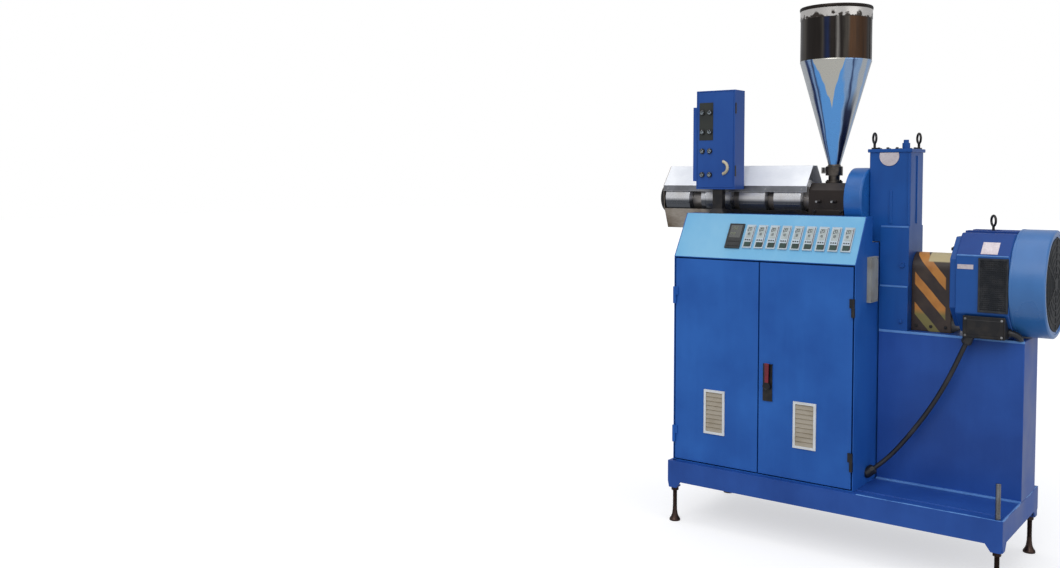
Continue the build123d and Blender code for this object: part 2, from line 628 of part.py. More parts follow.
def mirrored(half):
    """Both sides of an outline given as (offset from the axis, height from the axis)."""
    right = [(AXIS_Y + y, AXIS_Z + z) for y, z in half]
    left = [(AXIS_Y - y, AXIS_Z + z) for y, z in reversed(half)]
    return right + left


# Cover roof: a bent sheet with a flat crest, two slopes and turned-down lips
with BuildPart() as barrel_cover_roof:
    side_profile(COVER_LEFT, COVER_RIGHT, mirrored([
        (COVER_FLAT, COVER_TOP), (COVER_HALF, COVER_SHOULDER),
        (COVER_HALF, COVER_SHOULDER - COVER_LIP),
        (COVER_HALF - COVER_SHEET, COVER_SHOULDER - COVER_LIP),
        (COVER_HALF - COVER_SHEET, COVER_SHOULDER - COVER_SHEET / 2),
        (COVER_FLAT - COVER_SHEET / 2, COVER_TOP - COVER_SHEET)]))
save(barrel_cover_roof, "barrel_cover_roof")

with BuildPart() as barrel_trough:
    side_profile(COVER_LEFT, COVER_RIGHT, mirrored([
        (TROUGH_HALF, TROUGH_TOP), (TROUGH_FOOT_HALF, TROUGH_FOOT)]))
    side_profile(COVER_LEFT - 1, COVER_RIGHT + 1, mirrored([
        (TROUGH_HALF - COVER_SHEET, TROUGH_TOP + 1),
        (TROUGH_FOOT_HALF - COVER_SHEET, TROUGH_FOOT + COVER_SHEET)]), mode=Mode.SUBTRACT)
    block(CRADLE_X - CRADLE_SLOT_GAP, CRADLE_X + CRADLE_THICK + CRADLE_SLOT_GAP,
          AXIS_Y - CRADLE_HALF - CRADLE_SLOT_GAP, AXIS_Y + CRADLE_HALF + CRADLE_SLOT_GAP,
          AXIS_Z + TROUGH_FOOT - 1, AXIS_Z + TROUGH_FOOT + COVER_SHEET + 1, mode=Mode.SUBTRACT)
save(barrel_trough, "barrel_trough")

with BuildPart() as barrel_cover_end:
    side_profile(-BARREL_OVERHANG, COVER_LEFT, mirrored([
        (COVER_FLAT, COVER_TOP), (COVER_HALF, COVER_SHOULDER),
        (COVER_HALF, COVER_SHOULDER - COVER_LIP), (TROUGH_HALF, TROUGH_TOP),
        (TROUGH_FOOT_HALF, TROUGH_FOOT)]))
    rod_x(-BARREL_OVERHANG - 1, COVER_LEFT + 1, AXIS_Y, AXIS_Z, BARREL_R + HEATER_FIT,
          mode=Mode.SUBTRACT)
save(barrel_cover_end, "barrel_cover_end")

with BuildPart() as barrel_cradle:
    block(CRADLE_X, CRADLE_X + CRADLE_THICK, AXIS_Y - CRADLE_HALF, AXIS_Y + CRADLE_HALF,
          DECK_TOP, AXIS_Z)
    rod_x(CRADLE_X - 1, CRADLE_X + CRADLE_THICK + 1, AXIS_Y, AXIS_Z, BARREL_R, mode=Mode.SUBTRACT)
save(barrel_cradle, "barrel_cradle")

# Feed block: the cast throat between barrel and bearing housing
with BuildPart() as feed_block:
    side_profile(FEED_LEFT, FEED_RIGHT, [
        (AXIS_Y - FEED_HALF_DEPTH, DECK_TOP), (AXIS_Y - FEED_HALF_DEPTH, FEED_TOP - FEED_CHAMFER),
        (AXIS_Y - FEED_HALF_DEPTH + FEED_CHAMFER, FEED_TOP),
        (AXIS_Y + FEED_HALF_DEPTH - FEED_CHAMFER, FEED_TOP),
        (AXIS_Y + FEED_HALF_DEPTH, FEED_TOP - FEED_CHAMFER), (AXIS_Y + FEED_HALF_DEPTH, DECK_TOP)])
    rod_x(FEED_LEFT - 1, FEED_RIGHT + 1, AXIS_Y, AXIS_Z, FEED_BORE_R, mode=Mode.SUBTRACT)
    rod_z(HOPPER_X, AXIS_Y, AXIS_Z, FEED_TOP + 1, THROAT_R, mode=Mode.SUBTRACT)
save(feed_block, "feed_block")

# Hopper neck with a slot for the slide gate, cone and drum
NECK_TOP = FEED_TOP + NECK_HEIGHT
SLOT_Z = NECK_TOP - NECK_FLANGE_T * 2 - GATE_THICK - GATE_CLEAR * 2
with BuildPart() as hopper_neck:
    rod_z(HOPPER_X, AXIS_Y, FEED_TOP, NECK_TOP, NECK_R)
    rod_z(HOPPER_X, AXIS_Y, FEED_TOP, FEED_TOP + NECK_FLANGE_T, NECK_FLANGE_R)
    rod_z(HOPPER_X, AXIS_Y, SLOT_Z - NECK_FLANGE_T, NECK_TOP, NECK_FLANGE_R)
    rod_z(HOPPER_X, AXIS_Y, FEED_TOP - 1, NECK_TOP + 1, THROAT_R, mode=Mode.SUBTRACT)
    block(HOPPER_X - NECK_FLANGE_R - 1, HOPPER_X + THROAT_R + GATE_LAP + GATE_CLEAR,
          AXIS_Y - GATE_WIDTH / 2 - GATE_CLEAR, AXIS_Y + GATE_WIDTH / 2 + GATE_CLEAR,
          SLOT_Z, SLOT_Z + GATE_THICK + 2 * GATE_CLEAR, mode=Mode.SUBTRACT)
save(hopper_neck, "hopper_neck")

with BuildPart() as slide_gate:
    gate_z = SLOT_Z + GATE_CLEAR
    gate_left = HOPPER_X - NECK_FLANGE_R - GATE_TAIL
    block(gate_left, HOPPER_X + THROAT_R + GATE_LAP, AXIS_Y - GATE_WIDTH / 2,
          AXIS_Y + GATE_WIDTH / 2, gate_z, gate_z + GATE_THICK)
    block(gate_left, gate_left + GATE_THICK, AXIS_Y - GATE_WIDTH / 2, AXIS_Y + GATE_WIDTH / 2,
          gate_z, gate_z + GATE_TAB)
save(slide_gate, "slide_gate")


def hopper_ring(points):
    """A round shell about the hopper's axis, from (radius, height) points."""
    with BuildSketch(Plane((X0 + HOPPER_X, Y0 + AXIS_Y, 0), x_dir=(1, 0, 0), z_dir=(0, -1, 0))) as ring:
        with BuildLine():
            Polyline(*points, close=True)
        make_face()
    revolve(ring.sketch, axis=Axis((X0 + HOPPER_X, Y0 + AXIS_Y, 0), (0, 0, 1)))


CONE_TOP = NECK_TOP + CONE_HEIGHT
DRUM_TOP = CONE_TOP + DRUM_HEIGHT
with BuildPart() as hopper_cone:
    hopper_ring([(THROAT_R, NECK_TOP), (THROAT_R + HOPPER_SHEET, NECK_TOP),
                 (HOPPER_R, CONE_TOP), (HOPPER_R - HOPPER_SHEET, CONE_TOP)])
save(hopper_cone, "hopper_cone")

with BuildPart() as hopper_drum:
    hopper_ring([(HOPPER_R - HOPPER_SHEET, CONE_TOP), (HOPPER_R, CONE_TOP),
                 (HOPPER_R, DRUM_TOP), (HOPPER_R + RIM_R, DRUM_TOP),
                 (HOPPER_R + RIM_R, DRUM_TOP + RIM_R), (HOPPER_R, DRUM_TOP + RIM_R * 1.5),
                 (HOPPER_R - HOPPER_SHEET, DRUM_TOP + RIM_R)])
save(hopper_drum, "hopper_drum")

# Bearing housing and gearbox
with BuildPart() as bearing_housing:
    rod_x(FEED_RIGHT, FEED_RIGHT + BEARING_LENGTH, AXIS_Y, AXIS_Z, BEARING_R)
    fillet(bearing_housing.edges().filter_by(GeomType.CIRCLE), radius=BEARING_EASE)
save(bearing_housing, "bearing_housing")

with BuildPart() as gearbox_housing:
    block(GEAR_LEFT, GEAR_RIGHT, GEAR_FRONT, GEAR_BACK, GEAR_SEAT, GEAR_TOP - LID_THICK)
    fillet(gearbox_housing.edges().filter_by(Axis.Z), radius=GEAR_EASE)
    block(DRIVE_LEFT, GEAR_RIGHT, GEAR_FRONT - GEAR_STEP, GEAR_BACK + GEAR_STEP,
          PEDESTAL_TOP, GEAR_MIDDLE)
    block(DRIVE_LEFT, GEAR_RIGHT, GEAR_FRONT - 2 * GEAR_STEP, GEAR_BACK + 2 * GEAR_STEP,
          PEDESTAL_TOP, GEAR_LOWER)
save(gearbox_housing, "gearbox_housing")

with BuildPart() as gearbox_lid:
    block(GEAR_LEFT - LID_LAP, GEAR_RIGHT + LID_LAP, GEAR_FRONT - LID_LAP, GEAR_BACK + LID_LAP,
          GEAR_TOP - LID_THICK, GEAR_TOP)
save(gearbox_lid, "gearbox_lid")


def eye_bolt(x, y, z):
    """A lifting eye: collar, shank and a ring turned as far as the thread let it go."""
    rod_z(x, y, z, z + EYE_COLLAR, EYE_COLLAR_R)
    rod_z(x, y, z + EYE_COLLAR, z + EYE_SHANK, EYE_SHANK_R)
    with Locations(Location((X0 + x, Y0 + y, z + EYE_SHANK + EYE_RING_R), (90, EYE_TURN, 0))):
        Torus(EYE_RING_R, EYE_BAR_R)


with BuildPart() as breather_cap:
    rod_z(GEAR_RIGHT - CAP_INSET, GEAR_FRONT + CAP_INSET, GEAR_TOP, GEAR_TOP + CAP_HEIGHT, CAP_R)
save(breather_cap, "breather_cap")

with BuildPart() as motor_pedestal:
    block(DRIVE_LEFT, BASE_RIGHT, PEDESTAL_FRONT, PEDESTAL_FRONT + PEDESTAL_DEPTH,
          BASE_TOP, PEDESTAL_TOP)
save(motor_pedestal, "motor_pedestal")

# Coupling guard: an arched hood, open below, between gearbox and motor
with BuildPart() as drive_guard:
    with BuildSketch(Plane.YZ.offset(X0 + GEAR_RIGHT)):
        with Locations((Y0 + MOTOR_Y, PEDESTAL_TOP + (GUARD_TOP - GUARD_HALF - PEDESTAL_TOP) / 2)):
            Rectangle(2 * GUARD_HALF, GUARD_TOP - GUARD_HALF - PEDESTAL_TOP)
        with Locations((Y0 + MOTOR_Y, GUARD_TOP - GUARD_HALF)):
            Circle(GUARD_HALF)
    extrude(amount=GUARD_LENGTH)
save(drive_guard, "drive_guard")

# Motor: chamfered square frame, end shield, round fan cowl, shaft


def motor_outline(half, corner):
    """The motor's square section with its four corners cut off."""
    flat = half - corner
    quarter = [(flat, half), (half, flat), (half, -flat), (flat, -half)]
    return [(MOTOR_Y + y, MOTOR_Z + z) for y, z in quarter + [(-y, -z) for y, z in quarter]]


with BuildPart() as motor_frame:
    side_profile(FRAME_LEFT, FRAME_RIGHT, motor_outline(MOTOR_APOTHEM, MOTOR_CORNER))
save(motor_frame, "motor_frame")

with BuildPart() as motor_end_shield:
    side_profile(MOTOR_LEFT, FRAME_LEFT,
                 motor_outline(MOTOR_APOTHEM - SHIELD_SHRINK, MOTOR_CORNER))
    rod_x(GUARD_RIGHT, MOTOR_LEFT, MOTOR_Y, MOTOR_Z, SHAFT_R)
save(motor_end_shield, "motor_end_shield")

with BuildPart() as motor_cowl:
    rod_x(FRAME_RIGHT, MOTOR_RIGHT, MOTOR_Y, MOTOR_Z, COWL_R)
save(motor_cowl, "motor_cowl")

with BuildPart() as motor_feet:
    for x in (FRAME_LEFT + FOOT_FROM_END,
              FRAME_RIGHT - FOOT_FROM_END - MOTOR_FOOT_WIDTH):
        block(x, x + MOTOR_FOOT_WIDTH, MOTOR_Y - MOTOR_FOOT_HALF, MOTOR_Y + MOTOR_FOOT_HALF,
              PEDESTAL_TOP, MOTOR_Z - MOTOR_APOTHEM)
save(motor_feet, "motor_feet")

# Lifting eyes: two on the gearbox lid, one on the motor
with BuildPart() as lifting_eyes:
    eye_bolt(GEAR_LEFT + EYE_INSET, GEAR_FRONT + EYE_INSET, GEAR_TOP)
    eye_bolt(GEAR_RIGHT - EYE_INSET, GEAR_BACK - EYE_INSET, GEAR_TOP)
    eye_bolt(FRAME_LEFT + MOTOR_EYE_FROM_END, MOTOR_Y, MOTOR_Z + MOTOR_APOTHEM)
save(lifting_eyes, "lifting_eyes")

with BuildPart() as commutator_grille:
    grille_right = FRAME_RIGHT - GRILLE_FROM_COWL
    grille_back = MOTOR_Y - MOTOR_APOTHEM
    block(grille_right - GRILLE_W, grille_right, grille_back - GRILLE_PROUD, grille_back,
          MOTOR_Z - GRILLE_H / 2, MOTOR_Z + GRILLE_H / 2)
save(commutator_grille, "commutator_grille")

# Terminal box tucked under the motor frame's lower front slope
TERMINAL_FRONT = MOTOR_Y - MOTOR_APOTHEM - TERMINAL_PROUD
TERMINAL_Z = PEDESTAL_TOP + TERMINAL_GAP
SLOPE_SUM = (MOTOR_Y - MOTOR_APOTHEM) + (MOTOR_Z - MOTOR_APOTHEM + MOTOR_CORNER)
UNDER_SLOPE = SLOPE_SUM - TERMINAL_TO_FRAME * math.sqrt(2)
with BuildPart() as terminal_box:
    side_profile(TERMINAL_X, TERMINAL_X + TERMINAL_W, [
        (TERMINAL_FRONT, TERMINAL_Z), (TERMINAL_FRONT, TERMINAL_Z + TERMINAL_H),
        (UNDER_SLOPE - TERMINAL_Z - TERMINAL_H, TERMINAL_Z + TERMINAL_H),
        (TERMINAL_FRONT + TERMINAL_DEPTH, UNDER_SLOPE - TERMINAL_FRONT - TERMINAL_DEPTH),
        (TERMINAL_FRONT + TERMINAL_DEPTH, TERMINAL_Z)])
save(terminal_box, "terminal_box")

# Short bent conduit from the terminal box down into the pedestal's top
with BuildPart() as conduit:
    start_x = X0 + TERMINAL_X + TERMINAL_W
    start_y = Y0 + TERMINAL_FRONT + TERMINAL_DEPTH - CONDUIT_R
    start_z = PEDESTAL_TOP + CONDUIT_BEND
    corner_x = start_x + CONDUIT_BEND + CONDUIT_PAST
    with BuildLine():
        conduit_path = FilletPolyline(
            (start_x, start_y, start_z), (corner_x, start_y, start_z),
            (corner_x, start_y + CONDUIT_REACH, start_z - CONDUIT_REACH), radius=CONDUIT_BEND)
    with BuildSketch(Plane((start_x, start_y, start_z), z_dir=(1, 0, 0))):
        Circle(CONDUIT_R)
    sweep(path=conduit_path)
    block(start_x - X0, corner_x - X0 + CONDUIT_BEND, 0, MOTOR_Y, BASE_TOP, PEDESTAL_TOP,
          mode=Mode.SUBTRACT)
save(conduit, "conduit")

# Control box on a flared post, with a dark edge strip and eight dials
with BuildPart() as control_box:
    block(BOX_LEFT, BOX_LEFT + BOX_WIDTH, BOX_FRONT, BOX_FRONT + BOX_DEPTH,
          BOX_FOOT, BOX_FOOT + BOX_HEIGHT)
save(control_box, "control_box")

with BuildPart() as control_box_strip:
    strip_z = BOX_FOOT + STRIP_UP
    block(BOX_LEFT - STRIP_W, BOX_LEFT, BOX_FRONT, BOX_FRONT + BOX_DEPTH / 2,
          strip_z, strip_z + STRIP_H)
save(control_box_strip, "control_box_strip")

with BuildPart() as control_box_dials:
    for row in DIAL_ROWS:
        for column in range(2):
            rod_y(BOX_LEFT + DIAL_FIRST + column * DIAL_PITCH, BOX_FRONT - DIAL_PROUD, BOX_FRONT,
                  BOX_FOOT + row, DIAL_R)
save(control_box_dials, "control_box_dials")

with BuildPart() as control_box_post:
    post_y = (PANEL_TOP_Y + LEDGE_BACK) / 2
    block(POST_X, POST_X + POST_W, post_y - POST_D / 2, post_y + POST_D / 2, PANEL_TOP_Z, BOX_FOOT)
    with BuildSketch(Plane((X0 + POST_X + POST_W / 2, Y0 + post_y, PANEL_TOP_Z))):
        Rectangle(POST_W + 2 * POST_FLARE, POST_D + 2 * POST_FLARE)
    with BuildSketch(Plane((X0 + POST_X + POST_W / 2, Y0 + post_y, PANEL_TOP_Z + POST_FLARE * 1.5))):
        Rectangle(POST_W, POST_D)
    loft()
save(control_box_post, "control_box_post")

# Motor cable, from the gland on the cabinet up to the gland under the terminal box
CABLE_ROUTE = [
    (746, 152, 283),
    (777, 163, 310),
    (822, 176, 362),
    (871, 184, 430),
    (921, 188, 506),
    (969, 188, 592),
    (1010, 188, 682),
    (1036, 188, 746),
]


def corner_radii(points):
    """The largest arc at each corner: 0.45 of its shorter run over the tangent of half the turn."""
    spots = [Vector(*p) for p in points]
    radii = []
    for before, here, after in zip(spots, spots[1:], spots[2:]):
        run_in = here - before
        run_out = after - here
        turn = math.radians(run_in.get_angle(run_out))
        radii.append(0.45 * min(run_in.length, run_out.length) / math.tan(turn / 2))
    return radii


with BuildPart() as motor_cable:
    cable_points = [(X0 + x, Y0 + y, z) for x, y, z in CABLE_ROUTE]
    cable_radii = corner_radii(cable_points)
    with BuildLine():
        cable_path = FilletPolyline(*cable_points, radius=cable_radii)
    with BuildSketch(Plane(cable_path @ 0, z_dir=cable_path % 0)):
        Circle(CABLE_D / 2)
    sweep(path=cable_path)
save(motor_cable, "motor_cable")
cable_volume = math.pi * CABLE_D ** 2 / 4 * cable_path.length
print("cable radii", [round(r) for r in cable_radii], "length", round(cable_path.length),
      "volume share", round(motor_cable.part.volume / cable_volume, 4))


def gland(mouth, away, reach):
    """A round gland body from the cable's end, going on the cable's line by reach."""
    with BuildSketch(Plane(mouth, z_dir=away)) as ring:
        Circle(GLAND_R)
    extrude(ring.sketch, amount=reach)


with BuildPart() as cable_glands:
    low_end, low_way = cable_path @ 0, (cable_path % 0) * -1
    elbow = low_end + low_way * GLAND_LENGTH
    gland(low_end, low_way, GLAND_LENGTH)
    with Locations(elbow):
        Sphere(GLAND_R)
    gland((X0 + CAB_RIGHT, elbow.Y, elbow.Z), (1, 0, 0), elbow.X - X0 - CAB_RIGHT)
    block(0, CAB_RIGHT, 0, PEDESTAL_FRONT, BASE_TOP, PANEL_FOOT, mode=Mode.SUBTRACT)
    gland(cable_path @ 1, cable_path % 1, GLAND_LENGTH * 2)
    block(TERMINAL_X, TERMINAL_X + TERMINAL_W, 0, MOTOR_Y, TERMINAL_Z, MOTOR_Z, mode=Mode.SUBTRACT)
save(cable_glands, "cable_glands")
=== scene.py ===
import bmesh
import bpy
import math
from mathutils import Matrix, Vector


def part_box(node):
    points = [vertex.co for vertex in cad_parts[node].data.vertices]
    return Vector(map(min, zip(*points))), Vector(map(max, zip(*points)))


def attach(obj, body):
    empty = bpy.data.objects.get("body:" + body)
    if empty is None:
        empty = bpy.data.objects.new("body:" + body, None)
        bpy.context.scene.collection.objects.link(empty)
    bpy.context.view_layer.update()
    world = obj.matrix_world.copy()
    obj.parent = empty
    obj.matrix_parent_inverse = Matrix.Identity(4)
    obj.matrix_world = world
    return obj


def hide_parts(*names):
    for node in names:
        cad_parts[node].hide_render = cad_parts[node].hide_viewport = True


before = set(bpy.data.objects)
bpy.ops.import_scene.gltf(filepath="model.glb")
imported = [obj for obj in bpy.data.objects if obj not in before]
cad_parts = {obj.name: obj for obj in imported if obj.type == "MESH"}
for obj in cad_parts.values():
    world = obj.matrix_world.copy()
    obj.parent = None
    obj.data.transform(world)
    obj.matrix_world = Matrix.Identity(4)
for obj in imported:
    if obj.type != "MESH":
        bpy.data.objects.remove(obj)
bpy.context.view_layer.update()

# Camera: stands 3.8 m from the machine's front right corner, a little above
# half its height, and looks slightly down, as the photograph was taken.
camera_data = bpy.data.cameras.new("camera")
camera_data.sensor_width = 36
camera_data.lens = 35.71
camera_data.shift_y = -0.055
camera = bpy.data.objects.new("camera", camera_data)
camera.location = (1.420, -3.664, 1.2875)
camera.rotation_euler = (math.radians(87.35), 0, math.radians(37.45))
bpy.context.scene.collection.objects.link(camera)
bpy.context.scene.camera = camera
bpy.context.scene.view_settings.view_transform = "Standard"


# Studio: a white floor and a white room, lit by three wide soft lamps: a main
# one high in front, a weaker one at the right and one over the top.
def srgb(code):
    """A hex colour as the linear colour that a shader takes."""
    parts = [int(code[i:i + 2], 16) / 255 for i in (1, 3, 5)]
    return [c / 12.92 if c <= 0.04045 else ((c + 0.055) / 1.055) ** 2.4 for c in parts] + [1]


def add_node(tree, kind, settings=None, links=None):
    """Adds a shader node, sets its sockets or properties by name, and links what feeds it."""
    made = tree.nodes.new("ShaderNode" + kind)
    for key, value in (settings or {}).items():
        if isinstance(key, int) or key in made.inputs:
            made.inputs[key].default_value = value
        else:
            setattr(made, key, value)
    for key, source in (links or {}).items():
        tree.links.new(source.outputs[0] if hasattr(source, "outputs") else source, made.inputs[key])
    return made


def seen_directly(tree, gloss):
    """1 for rays from the camera and through glass, and a given share for rays off gloss."""
    path = add_node(tree, "LightPath")
    off_gloss = add_node(tree, "Math", {"operation": "MULTIPLY", 1: gloss},
                         {0: path.outputs["Is Glossy Ray"]})
    either = add_node(tree, "Math", {"operation": "MAXIMUM"},
                      {0: path.outputs["Is Camera Ray"], 1: off_gloss})
    return add_node(tree, "Math", {"operation": "MAXIMUM"},
                    {0: either, 1: path.outputs["Is Transmission Ray"]})


world = bpy.data.worlds.new("studio_room")
bpy.context.scene.world = world
world.use_nodes = True
room = world.node_tree
room.nodes.clear()
room_light = add_node(room, "Background", {"Color": srgb("#F4F7FF"), "Strength": 0.42})
room_white = add_node(room, "Background", {"Color": (1, 1, 1, 1), "Strength": 1.0})
room_mix = add_node(room, "MixShader", {}, {0: seen_directly(room, 0.35), 1: room_light, 2: room_white})
add_node(room, "OutputWorld", {}, {"Surface": room_mix})

bpy.ops.object.select_all(action="DESELECT")
bpy.ops.mesh.primitive_plane_add(size=60)
floor = bpy.context.object
floor.name = "studio_floor"
floor_paint = bpy.data.materials.new("white_floor_paint")
floor_paint.use_nodes = True
tree = floor_paint.node_tree
tree.nodes.clear()
matt = add_node(tree, "BsdfDiffuse", {"Color": srgb("#C8C8C8")})
glow = add_node(tree, "Emission", {"Color": (1, 1, 1, 1), "Strength": 0.56})
both = add_node(tree, "AddShader", {}, {0: matt, 1: glow})
surface = add_node(tree, "MixShader", {}, {0: seen_directly(tree, 0.35), 1: matt, 2: both})
add_node(tree, "OutputMaterial", {}, {"Surface": surface})
floor.data.materials.append(floor_paint)

for name, spot, strength, spread in (("main_lamp", (0.5, -3.4, 2.6), 1.0, 40),
                                     ("side_lamp", (4.0, -0.9, 1.5), 0.55, 50),
                                     ("top_lamp", (-0.8, -0.6, 5.0), 0.76, 60)):
    lamp_data = bpy.data.lights.new(name, "SUN")
    lamp_data.energy = strength
    lamp_data.angle = math.radians(spread)
    lamp = bpy.data.objects.new(name, lamp_data)
    lamp.location = spot
    lamp.rotation_euler = Vector(spot).to_track_quat("Z", "Y").to_euler()
    bpy.context.scene.collection.objects.link(lamp)


# Motor cable: a black rubber-sheathed power cable, 16 mm thick. It runs from
# the elbow gland on the cabinet's wall up to the gland under the terminal box.
def new_material(name, colour, metallic, roughness):
    """A material with one Principled shader, and that shader's tree and Object coordinates."""
    made = bpy.data.materials.new(name)
    made.use_nodes = True
    shader = made.node_tree.nodes["Principled BSDF"]
    for socket, value in (("Base Color", srgb(colour)), ("Metallic", metallic), ("Roughness", roughness)):
        shader.inputs[socket].default_value = value
    return made, made.node_tree, shader, add_node(made.node_tree, "TexCoord").outputs["Object"]


def passed(tree, *limits):
    """1 where each value has passed from its first limit to its second, 0 where one is still at its first."""
    product = None
    for value, first, second in limits:
        share = add_node(tree, "MapRange", {"From Min": first, "From Max": second}, {"Value": value})
        product = add_node(tree, "Math", {"operation": "MULTIPLY"},
                           {0: product, 1: share}) if product else share
    return product


def speckled(tree, place, size_mm, low, high, detail=3.0):
    """A noise pattern with features of one size, spread from 0 to 1 between two levels."""
    cloud = add_node(tree, "TexNoise", {"Scale": 1000 / size_mm, "Detail": detail}, {"Vector": place})
    return passed(tree, (cloud, low, high))


def dress(tree, shader, pattern, colours=None, rough=None, height=None, strength=0.0, depth_mm=0.0):
    """Feeds a shader: colour and roughness between two values by a pattern, and a bump over any before it."""
    if colours:
        tone = add_node(tree, "MixRGB", dict(zip(("Color1", "Color2"), map(srgb, colours))), {"Fac": pattern})
        tree.links.new(tone.outputs[0], shader.inputs["Base Color"])
    if rough:
        spread = add_node(tree, "MapRange", {"To Min": rough[0], "To Max": rough[1]}, {"Value": pattern})
        tree.links.new(spread.outputs[0], shader.inputs["Roughness"])
    if height:
        under = {"Normal": link.from_socket for link in shader.inputs["Normal"].links}
        bump = add_node(tree, "Bump", {"Strength": strength, "Distance": depth_mm / 1000},
                        {"Height": height, **under})
        tree.links.new(bump.outputs[0], shader.inputs["Normal"])


def moulded(name, colour, worn, roughness, grain_mm, depth_mm):
    """Moulded rubber or plastic: one colour that rubs paler in patches, and a fine mould grain."""
    made, tree, shader, place = new_material(name, colour, 0.0, roughness)
    patch = speckled(tree, place, 60, 0.45, 0.75)
    grain = add_node(tree, "TexNoise", {"Scale": 1000 / grain_mm, "Detail": 2.0}, {"Vector": place})
    dress(tree, shader, patch, (colour, worn), (roughness - 0.06, roughness + 0.1), grain, 0.6, depth_mm)
    return made


# Neoprene sheath, extruded: near black with a dull sheen and a slight bloom.
cable_rubber = moulded("neoprene_cable_sheath", "#16161A", "#2A2A2E", 0.5, 3.0, 0.15)
cable_route = [(0.181, -0.1045, 0.283), (0.212, -0.0935, 0.310), (0.257, -0.0805, 0.362),
               (0.306, -0.0725, 0.430), (0.356, -0.0685, 0.506), (0.404, -0.0685, 0.592),
               (0.445, -0.0685, 0.682), (0.471, -0.0685, 0.746)]
cable_curve = bpy.data.curves.new("motor_cable_run", "CURVE")
cable_curve.dimensions = "3D"
cable_line = cable_curve.splines.new("NURBS")
cable_line.points.add(len(cable_route) - 1)
for point, spot in zip(cable_line.points, cable_route):
    point.co = (*spot, 1)
cable_line.order_u = 3
cable_line.use_endpoint_u = True
cable_line.resolution_u = 16
cable_curve.bevel_depth = 0.008
cable_curve.bevel_resolution = 6
cable_curve.materials.append(cable_rubber)
cable = bpy.data.objects.new("motor_cable_run", cable_curve)
bpy.context.scene.collection.objects.link(cable)
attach(cable, "machine")
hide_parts("motor_cable")


# Base frame: channel rails, end plates and a deck plate, cut from 6 mm steel,
# welded and sprayed. The weld runs show along the feet of cabinet and pedestal.
def at(x, y, z):
    """A point in millimetres: X along the machine, Y back from the base's front, Z up from the floor."""
    return Vector(((x - 565) / 1000, (y - 256.5) / 1000, z / 1000))


def only(piece):
    """Selects one piece alone and makes it the active one."""
    bpy.ops.object.select_all(action="DESELECT")
    piece.select_set(True)
    bpy.context.view_layer.objects.active = piece


def fit_out(piece, material, bevel_mm=0.0, steps=2, smooth=35, body="machine"):
    """Breaks a piece's edges, shades it, and gives it its material and body."""
    only(piece)
    if bevel_mm:
        bevel = piece.modifiers.new("broken_edges", "BEVEL")
        bevel.width = bevel_mm / 1000
        bevel.segments = steps
        bevel.limit_method = "ANGLE"
        bevel.angle_limit = math.radians(28)
        bevel.use_clamp_overlap = True
        bpy.ops.object.modifier_apply(modifier=bevel.name)
    bpy.ops.object.shade_smooth_by_angle(angle=math.radians(smooth))
    even = piece.modifiers.new("flat_faces_stay_flat", "WEIGHTED_NORMAL")
    even.keep_sharp = True
    bpy.ops.object.modifier_apply(modifier=even.name)
    piece.data.materials.clear()
    piece.data.materials.append(material)
    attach(piece, body)
    return piece


def soften(node_name, material, bevel_mm, steps=2, smooth=35, body="machine"):
    """A merged copy of a CAD solid with its edges broken, which then stands for it."""
    piece = bpy.data.objects.new(node_name + "_finished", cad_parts[node_name].data.copy())
    bpy.context.scene.collection.objects.link(piece)
    only(piece)
    bpy.ops.mesh.customdata_custom_splitnormals_clear()
    bpy.ops.object.mode_set(mode="EDIT")
    bpy.ops.mesh.select_all(action="SELECT")
    bpy.ops.mesh.remove_doubles(threshold=0.00002)
    bpy.ops.mesh.dissolve_limited(angle_limit=math.radians(0.8))
    bpy.ops.object.mode_set(mode="OBJECT")
    fit_out(piece, material, bevel_mm, steps, smooth, body)
    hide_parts(node_name)
    return piece


def enamel(name, colour, faded, roughness, wave_mm=0.5, peel_mm=5.0, specular=0.25):
    """Sprayed enamel on steel: a colour that fades in clouds and runs, over a slightly wavy sheet."""
    made, tree, shader, place = new_material(name, colour, 0.0, roughness)
    shader.inputs["Specular IOR Level"].default_value = specular
    cloud = speckled(tree, place, 260, 0.38, 0.68, 4.0)
    tall = add_node(tree, "Mapping", {"Scale": (1.0, 1.0, 0.12)}, {"Vector": place})
    runs = speckled(tree, tall, 28, 0.48, 0.78, 2.0)
    faint_runs = add_node(tree, "Math", {"operation": "MULTIPLY", 1: 0.2}, {0: runs})
    marks = add_node(tree, "Math", {"operation": "ADD", "use_clamp": True}, {0: cloud, 1: faint_runs})
    wave = add_node(tree, "TexNoise", {"Scale": 5.5, "Detail": 1.0}, {"Vector": place})
    peel = add_node(tree, "TexNoise", {"Scale": 1000 / peel_mm, "Detail": 2.0}, {"Vector": place})
    dress(tree, shader, cloud, None, (roughness - 0.05, roughness + 0.12), wave, 0.7, wave_mm)
    dress(tree, shader, marks, (colour, faded), None, peel, 0.35, 0.1)
    return made


# Air-dried machine enamel, deep blue: semi-gloss, cloudy where hands and oil
# have dulled it, with orange peel drawn at 5 mm so that it shows.
base_enamel = enamel("base_frame_enamel", "#1F4690", "#2A55A4", 0.38, 0.4)
for node_name in ("base_front_rail", "base_back_rail", "base_end_plates", "base_deck"):
    soften(node_name, base_enamel, 1.6, 3)


